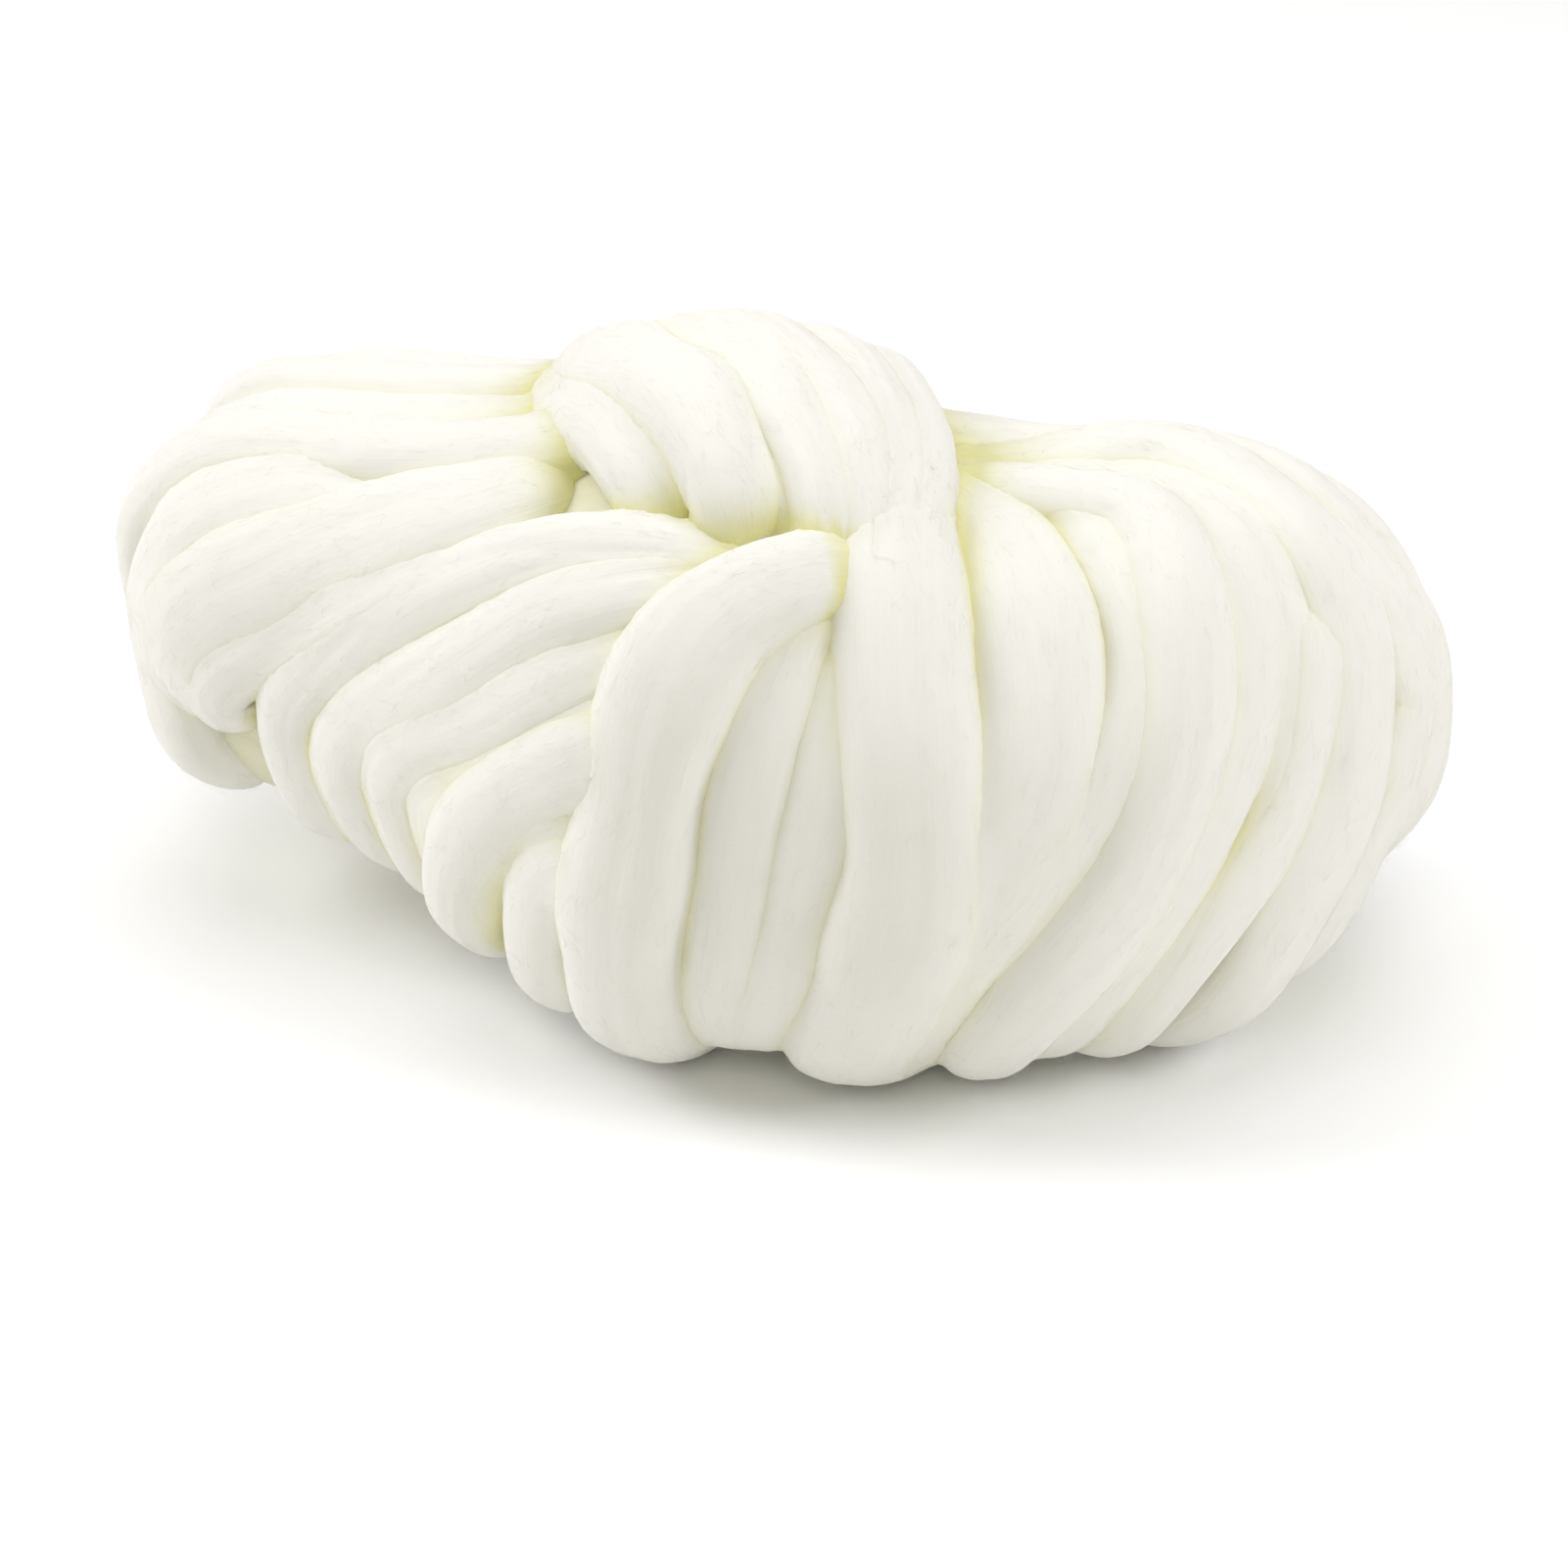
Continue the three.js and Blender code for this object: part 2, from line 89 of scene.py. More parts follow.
@dataclass(frozen=True)
class WoundForm:
    """The smooth form that the turns are wound into.

    Angles go round it: 0 in front, 90 on top, 180 behind and 270 below.
    """

    left: float = -158.0
    right: float = 130.0
    left_round: float = 30.0
    right_round: float = 62.0
    round_power: float = 2.2
    upper_power: float = 2.3
    lower_power: float = 3.3
    press: float = 1.8  # how far the hank's weight flattens it where it rests
    heart: Pair = (-110.0, 80.0)  # the outward side is away from the line between these
    # A row for each section: x, middle y and z, then its reach to the front, back, top and bottom.
    rows: tuple[tuple[float, ...], ...] = (
        (-160, 26, 74, 33, 38, 28, 42),
        (-125, 22, 71, 42, 48, 38, 43),
        (-90, 12, 67, 47, 54, 46, 40),
        (-60, 4, 63, 60, 62, 57, 48),
        (-30, 0, 60, 71, 68, 73, 51),
        (0, -2, 60, 74, 70, 72, 51),
        (30, 0, 60, 74, 68, 60, 51),
        (70, 8, 60, 69, 64, 57, 50),
        (105, 19, 60, 59, 57, 57, 52),
        (135, 30, 60, 46, 48, 51, 50),
    )

    def columns(self, x: np.ndarray) -> list[np.ndarray]:
        """The middle and reach of the form at x, on smooth curves through the rows.

        Args:
            x: Places along the hank.

        Returns:
            Middle y and z, then the reach to the front, back, top and bottom.
        """
        rows = np.array(self.rows, float)
        knots = rows[:, 0]
        at = np.clip(x, knots[0], knots[-1])
        i = np.clip(np.searchsorted(knots, at, side="right") - 1, 0, len(knots) - 2)
        h = knots[i + 1] - knots[i]
        t = (at - knots[i]) / h
        found = []
        for values in rows[:, 1:].T:
            slope = np.gradient(values, knots)
            found.append(
                (2 * t**3 - 3 * t**2 + 1) * values[i]
                + (t**3 - 2 * t**2 + t) * h * slope[i]
                + (-2 * t**3 + 3 * t**2) * values[i + 1]
                + (t**3 - t**2) * h * slope[i + 1]
            )
        return found

    def surface(self, x: np.ndarray, degrees: np.ndarray, lift: np.ndarray | float = 0.0) -> np.ndarray:
        """Points of the form, moved out by a lift.

        Args:
            x: Places along the hank.
            degrees: Angles round it.
            lift: Height over the form.

        Returns:
            The points, with x, y and z last.
        """
        x, degrees, lift = np.broadcast_arrays(x, degrees, lift)
        y, z, front, back, up, down = self.columns(x)
        past_left = 1 - (x - self.left) / self.left_round
        past_right = 1 - (self.right - x) / self.right_round
        in_end = np.clip(np.maximum(past_left, past_right), 0, 1)
        rounding = np.sqrt(1 - in_end**self.round_power)
        c, s = np.cos(np.radians(degrees)), np.sin(np.radians(degrees))
        square = squared(c, s, np.where(s < 0, self.lower_power, self.upper_power))
        across = np.where(c > 0, front, back) * rounding * square + lift
        upright = np.where(s > 0, up, down) * rounding * square + lift
        return np.stack([x, y - across * c, z + upright * s], -1)

    def normals(self, x: np.ndarray, degrees: np.ndarray) -> np.ndarray:
        """Outward directions of the form.

        Args:
            x: Places along the hank.
            degrees: Angles round it.

        Returns:
            Unit vectors, with x, y and z last.
        """
        step = 0.4
        along = self.surface(np.minimum(x + step, self.right), degrees)
        along = along - self.surface(np.maximum(x - step, self.left), degrees)
        round_it = self.surface(x, degrees + step) - self.surface(x, degrees - step)
        normal = unit(np.cross(along, round_it))
        y, z = self.columns(x)[:2]
        heart = np.stack([np.clip(x, *self.heart), y, z], -1)
        outward = np.sum((self.surface(x, degrees) - heart) * normal, -1, keepdims=True)
        return np.where(outward < 0, -normal, normal)


@dataclass(frozen=True)
class Turn:
    """One turn of the roving over the form.

    A station is a place along the hank, an angle round it and the middle line's height over the form. Soft
    is the reach over which the turn melts into its neighbours. Head and tail are the share of the width that
    is left at the two ends.
    """

    name: str
    width: float
    soft: float
    stations: tuple[Triple, ...]
    head: float
    tail: float


@dataclass
class Piece:
    """The points and faces of a mesh, before it becomes an object."""

    points: np.ndarray
    faces: list[np.ndarray]
    uv: list[np.ndarray]
    # the painted shade of each point, from 0 for the crest colour to 1 for full painted shade
    shade: np.ndarray

    @staticmethod
    def joined(parts: list["Piece"]) -> "Piece":
        """Several pieces as one.

        Args:
            parts: The pieces to join.

        Returns:
            One piece that holds them all.
        """
        kinds = range(len(parts[0].faces))
        starts = np.cumsum([0] + [len(part.points) for part in parts[:-1]])
        return Piece(
            points=np.concatenate([part.points for part in parts]),
            faces=[
                np.concatenate([part.faces[k] + start for part, start in zip(parts, starts)]) for k in kinds
            ],
            uv=[np.concatenate([part.uv[k] for part in parts]) for k in kinds],
            shade=np.concatenate([part.shade for part in parts]),
        )

    def build(self, name: str) -> bpy.types.Object:
        """Make the object.

        Args:
            name: The object's name.

        Returns:
            The object, linked to the scene.
        """
        mesh = bpy.data.meshes.new(name)
        mesh.vertices.add(len(self.points))
        mesh.vertices.foreach_set("co", self.points.astype(np.float32).ravel())
        corners = np.concatenate([faces.ravel() for faces in self.faces])
        sizes = np.concatenate([np.full(len(faces), faces.shape[1]) for faces in self.faces])
        mesh.loops.add(len(corners))
        mesh.loops.foreach_set("vertex_index", corners.astype(np.int32))
        mesh.polygons.add(len(sizes))
        mesh.polygons.foreach_set("loop_start", np.concatenate([[0], np.cumsum(sizes)[:-1]]).astype(np.int32))
        mesh.polygons.foreach_set("use_smooth", np.ones(len(sizes), bool))
        layer = mesh.uv_layers.new(name="roving")
        places = np.concatenate([uv.reshape(-1, 2) for uv in self.uv])
        layer.data.foreach_set("uv", places.astype(np.float32).ravel())
        shade = mesh.attributes.new(name="painted_shade", type="FLOAT", domain="POINT")
        shade.data.foreach_set("value", self.shade.astype(np.float32))
        mesh.update(calc_edges=True)
        mesh.validate()
        obj = bpy.data.objects.new(name, mesh)
        bpy.context.scene.collection.objects.link(obj)
        return obj


def ring_piece(rings: np.ndarray, along: np.ndarray, round_it: np.ndarray, shade: np.ndarray) -> Piece:
    """A closed piece from rings of points.

    Args:
        rings: Points by ring and by side.
        along: The distance of each ring along the piece.
        round_it: The distance of each side round the piece, with one more for the last side's far edge.
        shade: The painted shade of each point.

    Returns:
        The piece, with a fan of triangles over each end.
    """
    count, sides = rings.shape[:2]
    index = np.arange(count * sides).reshape(count, sides)
    after = np.roll(index, -1, axis=1)
    quads = np.stack([index[:-1], index[1:], after[1:], after[:-1]], -1).reshape(-1, 4)
    u = np.broadcast_to(along[:, None], (count, sides + 1))
    v = np.broadcast_to(round_it[None, :], (count, sides + 1))
    grid = np.stack([u, v], -1)
    quad_uv = np.stack([grid[:-1, :-1], grid[1:, :-1], grid[1:, 1:], grid[:-1, 1:]], -2).reshape(-1, 4, 2)
    first, last = count * sides, count * sides + 1
    start = np.stack([np.full(sides, first), index[0], after[0]], -1)
    end = np.stack([np.full(sides, last), after[-1], index[-1]], -1)
    middle_v = np.full(sides, round_it.mean())
    start_uv = np.stack([np.stack([u[0, :-1], middle_v], -1), grid[0, :-1], grid[0, 1:]], -2)
    end_uv = np.stack([np.stack([u[-1, :-1], middle_v], -1), grid[-1, 1:], grid[-1, :-1]], -2)
    return Piece(
        points=np.concatenate([rings.reshape(-1, 3), rings[0].mean(0)[None], rings[-1].mean(0)[None]]),
        faces=[quads, np.concatenate([start, end])],
        uv=[quad_uv, np.concatenate([start_uv, end_uv])],
        # The two end centres take full painted shade.
        shade=np.concatenate([shade.ravel(), [1.0, 1.0]]),
    )


def blend(t: np.ndarray, low: float, high: float, first: np.ndarray, last: np.ndarray) -> np.ndarray:
    """The first value where t is low and the last where it is high, on a straight line."""
    return (high - t) / (high - low) * first + (t - low) / (high - low) * last


def smooth_curve(knots: np.ndarray, steps: int = 24) -> np.ndarray:
    """A centripetal Catmull-Rom curve.

    Args:
        knots: The points that the curve passes.
        steps: Steps from one point to the next.

    Returns:
        The points of the curve.
    """
    ends = np.vstack([2 * knots[0] - knots[1], knots, 2 * knots[-1] - knots[-2]])
    out = []
    for p0, p1, p2, p3 in zip(ends[:-3], ends[1:-2], ends[2:-1], ends[3:]):
        t1 = np.linalg.norm(p1 - p0) ** 0.5
        t2 = t1 + np.linalg.norm(p2 - p1) ** 0.5
        t3 = t2 + np.linalg.norm(p3 - p2) ** 0.5
        t = np.linspace(t1, t2, steps, endpoint=False)[:, None]
        middle = blend(t, t1, t2, p1, p2)
        before = blend(t, 0, t2, blend(t, 0, t1, p0, p1), middle)
        after = blend(t, t1, t3, middle, blend(t, t2, t3, p2, p3))
        out.append(blend(t, t1, t2, before, after))
    return np.vstack([*out, knots[-1:]])


def smoothstep(value: np.ndarray) -> np.ndarray:
    """Ease from 0 to 1."""
    t = np.clip(value, 0, 1)
    return t * t * (3 - 2 * t)


def wave(
    rng: np.random.Generator, along: np.ndarray, length: float, spread: Pair = (0.7, 1.6), height: float = 1.8
) -> np.ndarray:
    """A gentle uneven wave of about one unit, the sum of three.

    Args:
        rng: The source of their lengths and phases.
        along: Distances along a turn.
        length: About the wavelength.
        spread: The shortest and longest of the three, as shares of that.
        height: How high the sum of three comes to lie, which it is divided by.

    Returns:
        The wave at each distance.
    """
    lengths = length * rng.uniform(*spread, 3)
    phases = rng.uniform(0, 2 * np.pi, 3)
    return sum(np.sin(2 * np.pi * along / w + p) for w, p in zip(lengths, phases)) / height


@dataclass(frozen=True)
class Locks:
    """Soft ridges of combed fibre along a turn. Millimetres."""

    count: int = 7
    height: float = 0.13
    fewest_round: int = 3  # of a lock's ridges, side by side round the turn
    most_round: int = 14
    drift: float = 0.5  # how far the ridges swing round the turn, in radians
    drift_length: float = 90.0
    twist_length: float = 160.0  # the greatest length in which a lock winds on by one radian
    strength: Pair = (0.3, 1.0)
    fade: float = 0.4  # the share of their height that comes and goes
    fade_length: float = 50.0

    def heights(self, rng: np.random.Generator, along: np.ndarray, angles: np.ndarray) -> np.ndarray:
        """How far the locks move the surface.

        Args:
            rng: The source of their places.
            along: Distances along the turn.
            angles: Angles round its section.

        Returns:
            Heights by ring and by side.
        """
        theta = np.radians(angles)[None, :]
        height = np.zeros((len(along), len(angles)))
        for _ in range(self.count):
            number = rng.integers(self.fewest_round, self.most_round + 1)
            drift = self.drift * wave(rng, along, self.drift_length)
            drift = drift + along / rng.uniform(-self.twist_length, self.twist_length)
            strength = rng.uniform(*self.strength)
            strength = strength * (1 - self.fade + self.fade * wave(rng, along, self.fade_length))
            lock = np.cos(number * theta + rng.uniform(0, 2 * np.pi) + drift[:, None])
            height += self.height * strength[:, None] * lock / math.sqrt(self.count)
        return height


@dataclass(frozen=True)
class Pleats:
    """Shallow creases along a turn. Millimetres and degrees."""

    count: int = 3
    depth: float = 0.28
    spread: float = 9.0  # how wide a pleat is, as an angle round the turn
    places: Pair = (20.0, 160.0)
    drift: float = 14.0
    drift_length: float = 120.0
    middles: Pair = (0.1, 0.9)  # shares of the turn's length
    reach: Pair = (25.0, 70.0)
    strength: Pair = (0.4, 1.0)

    def depths(self, rng: np.random.Generator, along: np.ndarray, angles: np.ndarray) -> np.ndarray:
        """How far the pleats draw the surface in.

        Args:
            rng: The source of their places.
            along: Distances along the turn.
            angles: Angles round its section.

        Returns:
            Depths by ring and by side.
        """
        depth = np.zeros((len(along), len(angles)))
        for _ in range(self.count):
            place = rng.uniform(*self.places) + self.drift * wave(rng, along, self.drift_length)
            middle = rng.uniform(*self.middles) * along[-1]
            reach = rng.uniform(*self.reach)
            strength = np.exp(-(((along - middle) / reach) ** 2)) * rng.uniform(*self.strength)
            crease = np.exp(-(((angles[None, :] - place[:, None]) / self.spread) ** 2))
            depth += self.depth * strength[:, None] * crease
        return depth


@dataclass(frozen=True)
class Strand:
    """The soft, slightly uneven length of roving that every turn is made of. Millimetres and degrees."""

    flatten: float = 0.82  # height of a pressed turn over its width
    thickest: float = 18.0  # no turn is higher than this
    squareness: float = 2.35  # of the section, where 2 is an ellipse
    ring_step: float = 2.3
    fewest_rings: int = 8
    crowding: float = 0.15  # how much the rings crowd towards a turn's ends
    smallest_end: float = 0.02  # the share of the width at which a round end is closed
    fine_from: float = -40.0
    fine_to: float = 220.0
    fine_steps: int = 48
    coarse_steps: int = 7
    taper: float = 0.3  # the share of a turn's length over which its head or tail narrows
    swell: float = 0.035  # how much the width varies
    swell_length: float = 46.0
    wander: float = 0.5  # how far the middle line strays
    wander_length: float = 60.0
    locks: Locks = Locks()
    pleats: Pleats = Pleats()

    def angles(self) -> np.ndarray:
        """Angles of a section's points, close together on the side that shows.

        Returns:
            The angles in degrees.
        """
        fine = np.linspace(self.fine_from, self.fine_to, self.fine_steps + 1)
        coarse = np.linspace(self.fine_to, self.fine_from + 360, self.coarse_steps + 1)[1:-1]
        return np.concatenate([fine, coarse])

    def middle_line(self, form: WoundForm, turn: Turn) -> tuple[np.ndarray, np.ndarray, np.ndarray]:
        """The turn's middle line in nearly even steps.

        Args:
            form: The form that the turn lies on.
            turn: The turn.

        Returns:
            Its points, its outward directions and its distances along.
        """
        x, degrees, height = np.array(turn.stations, float).T
        outward = form.normals(x, degrees)
        knots = form.surface(x, degrees) + outward * height[:, None]
        fine = smooth_curve(np.hstack([knots, outward]))
        length = np.concatenate([[0], np.cumsum(np.linalg.norm(np.diff(fine[:, :3], axis=0), axis=1))])
        rings = max(self.fewest_rings, round(length[-1] / self.ring_step))
        share = np.linspace(0, 1, rings + 1)
        close = 0.5 - 0.5 * np.cos(np.pi * share)
        along = length[-1] * ((1 - self.crowding) * share + self.crowding * close)
        line = np.stack([np.interp(along, length, column) for column in fine.T], -1)
        return line[:, :3], line[:, 3:], along

    def sweep(self, form: WoundForm, turn: Turn, seed: int) -> "Swept":
        """Shape a turn.

        Args:
            form: The form that the turn lies on.
            turn: The turn.
            seed: The seed of its unevenness.

        Returns:
            The turn's shape.
        """
        rng = np.random.default_rng(seed)
        middle, outward, along = self.middle_line(form, turn)
        tangent = unit(np.gradient(middle, axis=0))
        outward = unit(outward - np.sum(outward * tangent, 1, keepdims=True) * tangent)
        side = np.cross(tangent, outward)
        middle = middle + side * (self.wander * wave(rng, along, self.wander_length))[:, None]
        share = along / along[-1]
        taper = turn.head + (1 - turn.head) * smoothstep(share / self.taper)
        taper = taper * (turn.tail + (1 - turn.tail) * smoothstep((1 - share) / self.taper))
        from_end = np.clip(np.minimum(along, along[-1] - along) / (turn.width / 2), 0, 1)
        cap = np.sqrt(np.clip(1 - (1 - from_end) ** 2, self.smallest_end**2, 1))
        size = taper * cap * (1 + self.swell * wave(rng, along, self.swell_length))
        half_width = turn.width / 2 * size
        half_height = min(turn.width * self.flatten, self.thickest) / 2 * size
        angles = self.angles()
        c, s = np.cos(np.radians(angles)), np.sin(np.radians(angles))
        square = squared(c, s, self.squareness)
        relief = self.locks.heights(rng, along, angles) - self.pleats.depths(rng, along, angles)
        relief = relief * cap[:, None]
        across = half_width[:, None] * (square * c) + relief * c
        upright = half_height[:, None] * (square * s) + relief * s
        rings = middle[:, None] + side[:, None] * across[..., None] + outward[:, None] * upright[..., None]
        sections = Sections(middle, side, outward, half_width, half_height, self.squareness)
        return Swept(turn, sections, rings, along, angles)


@dataclass(frozen=True)
class Sections:
    """Sections of a turn: their middles, their two directions and their half sizes. Millimetres."""

    middle: np.ndarray
    side: np.ndarray
    outward: np.ndarray
    half_width: np.ndarray
    half_height: np.ndarray
    squareness: float
    slack: float = 1.5  # along the turn, before a point counts as past its end
    core: float = 0.001  # the share of the way out that counts as the middle line itself

    def at(self, i: np.ndarray) -> "Sections":
        """The sections with these numbers."""
        each = (self.middle, self.side, self.outward, self.half_width, self.half_height)
        return Sections(*(values[i] for values in each), self.squareness)

    def gap(self, points: np.ndarray) -> np.ndarray:
        """The distance to the turn's surface, from one point beside each section.

        Args:
            points: The points, which are another turn's.

        Returns:
            A distance for each point, negative inside the turn.
        """
        offset = points - self.middle
        side = np.abs(np.sum(offset * self.side, 1))
        out = np.abs(np.sum(offset * self.outward, 1))
        power = self.squareness
        share = ((side / self.half_width) ** power + (out / self.half_height) ** power) ** (1 / power)
        across = np.hypot(side, out)
        gap = across * (1 - 1 / np.maximum(share, self.core))
        past = np.sqrt(np.maximum(np.sum(offset**2, 1) - across**2 - self.slack**2, 0))
        return np.where(past > 0, np.hypot(np.maximum(gap, 0), past), gap)


@dataclass(frozen=True)
class Pressing:
    """How turns are pressed together, and how painted shade darkens the grooves between them. Millimetres."""

    reach: float = 6.0  # no point moves further than this
    steps: int = 8
    pull: float = 0.9  # the share of its way to the surface that a point goes in one step
    dive: float = 0.5  # how steeply a turn goes under its neighbour past the bottom of the valley
    hidden: float = 0.5  # a point that lies this deep in a neighbour doesn't show
    shoulder: float = 0.6  # the share of a half width at which a turn's side stands up beside a valley
    nearest_side: float = 1.5
    shade: Pair = (0.01, 0.24)  # the hidden share of the sky where painted shade starts and is full
    crease_height: float = 4.0  # how far up the sides of a groove its painted dark line shows
    crease_strength: float = 0.4


@dataclass
class Swept:
    """The shape of a turn in the drawing's frame: its rings of points and what they were made from."""

    turn: Turn
    sections: Sections
    rings: np.ndarray
    along: np.ndarray
    angles: np.ndarray
    pressing: Pressing = Pressing()

    def __post_init__(self) -> None:
        """Give every point no painted shade, and count it as shown, until the turns are pressed together."""
        self.painted_shade_share = np.zeros(self.rings.shape[:2])
        self.shown = np.ones(self.rings.shape[:2], bool)

    def near(self, other: "Swept") -> tuple[Sections, float] | None:
        """Find where this turn's points lie beside another turn.

        Args:
            other: The other turn.

        Returns:
            The other turn's nearest section for each point, and the reach over which the two melt together.
            Nothing where they lie apart.
        """
        reach = self.pressing.reach + other.sections.half_width.max()
        points = self.rings.reshape(-1, 3)
        low, high = points.min(0) - reach, points.max(0) + reach
        at = np.flatnonzero(np.all((other.sections.middle > low) & (other.sections.middle < high), axis=1))
        if not len(at):
            return None
        middle = other.sections.middle[at]
        i = at[np.argmin(np.sum(middle**2, 1)[None, :] - 2 * points @ middle.T, axis=1)]
        found = other.sections.at(i)
        soft = (self.turn.soft + other.turn.soft) / 2
        return (found, soft) if found.gap(points).min() < self.pressing.reach else None

    def press(self, others: list["Swept"]) -> None:
        """Press the turn into its neighbours, so that soft grooves and no sharp creases lie between them.

        Each point moves out from the middle line until it meets the surface that melts two turns into one.
        Past the bottom of the groove it dives under the other turn. Then each point is given its painted
        shade.

        Args:
            others: The other turns.
        """
        rule = self.pressing
        beside = [found for found in map(self.near, others) if found]
        points = self.rings.reshape(-1, 3)
        ray = (self.rings - self.sections.middle[:, None]).reshape(-1, 3)
        ray = ray / np.maximum(np.linalg.norm(ray, axis=1, keepdims=True), TINY)
        moved = np.zeros(len(points))
        for _ in range(rule.steps):
            over = moved.copy()
            nearest = np.full(len(points), rule.reach)
            for found, soft in beside:
                gap = found.gap(points + ray * moved[:, None])
                melt = np.maximum(1 - np.abs(moved - gap) / soft, 0)
                height = np.minimum(moved, gap) - soft / 4 * melt**2
                over = np.minimum(over, height + rule.dive * np.maximum(moved - gap, 0))
                nearest = np.minimum(nearest, gap - moved)
            moved = np.clip(moved - rule.pull * over, 0, rule.reach)
        points = points + ray * moved[:, None]
        self.rings = points.reshape(self.rings.shape)
        self.shown = (nearest > -rule.hidden).reshape(self.rings.shape[:2])
        # Painted shade: a dark line along each crease on the turn's sides, and more shade where the turns
        # beside it hide the sky.
        line = rule.crease_strength * np.clip(1 - nearest / rule.crease_height, 0, 1) ** 2
        side_on = 1 - np.maximum(np.sin(np.radians(self.angles)), 0)
        sky_shade = self.sky_shade(points, [found for found, _ in beside])
        painted_shade_share = sky_shade + line * np.tile(side_on, len(self.rings))
        self.painted_shade_share = np.minimum(painted_shade_share, 1).reshape(self.rings.shape[:2])

    def sky_shade(self, points: np.ndarray, beside: list[Sections]) -> np.ndarray:
        """How much of the sky over each point is hidden by the turns on its two sides, for the painted shade.

        Args:
            points: The turn's points, ring after ring.
            beside: The sections of the other turns that lie nearest to them.

        Returns:
            Zero in the open to one deep down between turns.
        """
        rule = self.pressing
        count = len(self.angles)
        outward = np.repeat(self.sections.outward, count, 0)
        side = np.repeat(self.sections.side, count, 0)
        lowest = np.ones((2, len(points)))
        for found in beside:
            offset = found.middle + found.outward * found.half_height[:, None] - points
            rise = np.sum(offset * outward, 1)
            across = np.sum(offset * side, 1)
            level = np.sqrt(np.maximum(np.sum(offset**2, 1) - rise**2, 0))
            away = np.maximum(level - rule.shoulder * found.half_width, 0) + rule.nearest_side
            open_share = np.where(rise > 0, away / np.hypot(away, rise), 1)
            for k, on_side in enumerate((across > 0, across <= 0)):
                lowest[k] = np.where(on_side, np.minimum(lowest[k], open_share), lowest[k])
        start, full = rule.shade
        return smoothstep((1 - lowest.mean(0) - start) / (full - start))

    def piece(self, place: "Placement") -> Piece:
        """The turn as a closed piece in metres.

        Args:
            place: Where the drawing's frame lies in the model's frame.

        Returns:
            The piece.
        """
        gap = np.diff(np.concatenate([self.angles, [self.angles[0] + 360]]))
        round_it = np.concatenate([[0], np.cumsum(np.radians(gap))]) * self.turn.width / 2
        return ring_piece(place.metres(self.rings), self.along * MM, round_it * MM, self.painted_shade_share)


@dataclass(frozen=True)
class Placement:
    """Where the drawing's frame lies in the model's frame."""

    middle_x: float
    middle_y: float
    press: float

    @staticmethod
    def matching(box: tuple[Triple, Triple], shapes: list[Swept], form: WoundForm) -> "Placement":
        """Lay the turns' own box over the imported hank's.

        Args:
            box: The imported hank's lowest and highest corners, in metres.
            shapes: All the turns.
            form: The wound form.

        Returns:
            The placement.
        """
        low = np.min([shape.rings.min((0, 1)) for shape in shapes], 0)
        high = np.max([shape.rings.max((0, 1)) for shape in shapes], 0)
        middle = (low + high) / 2 - (np.array(box[0]) + np.array(box[1])) / 2 / MM
        return Placement(float(middle[0]), float(middle[1]), form.press)

    def metres(self, points: np.ndarray) -> np.ndarray:
        """Points of the drawing in the model's frame.

        Args:
            points: The points, with x, y and z last.

        Returns:
            The points in metres, none of them below the surface that the hank rests on.
        """
        moved = (points - [self.middle_x, self.middle_y, self.press]) * MM
        moved[..., 2] = np.maximum(moved[..., 2], 0.0)
        return moved


@dataclass(frozen=True)
class Winding(ABC):
    """Turns that run alike. A row holds a turn's name, width and lift over the form, then its path."""

    region: Region
    soft: float
    rows: tuple[tuple, ...]
    head: float = 1.0
    tail: float = 1.0

    def turns(self) -> list[Turn]:
        """The turns of this part of the hank."""
        return [self.turn(*row) for row in self.rows]

    def turn(self, name: str, width: float, lift: float, *path: float | Pair) -> Turn:
        """One turn, from its row."""
        return Turn(name, width, self.soft, tuple(self.stations(lift, *path)), self.head, self.tail)

    @abstractmethod
    def stations(self, lift: float, *path: float | Pair) -> list[Triple]:
        """The stations of one turn, from its lift and the rest of its row."""


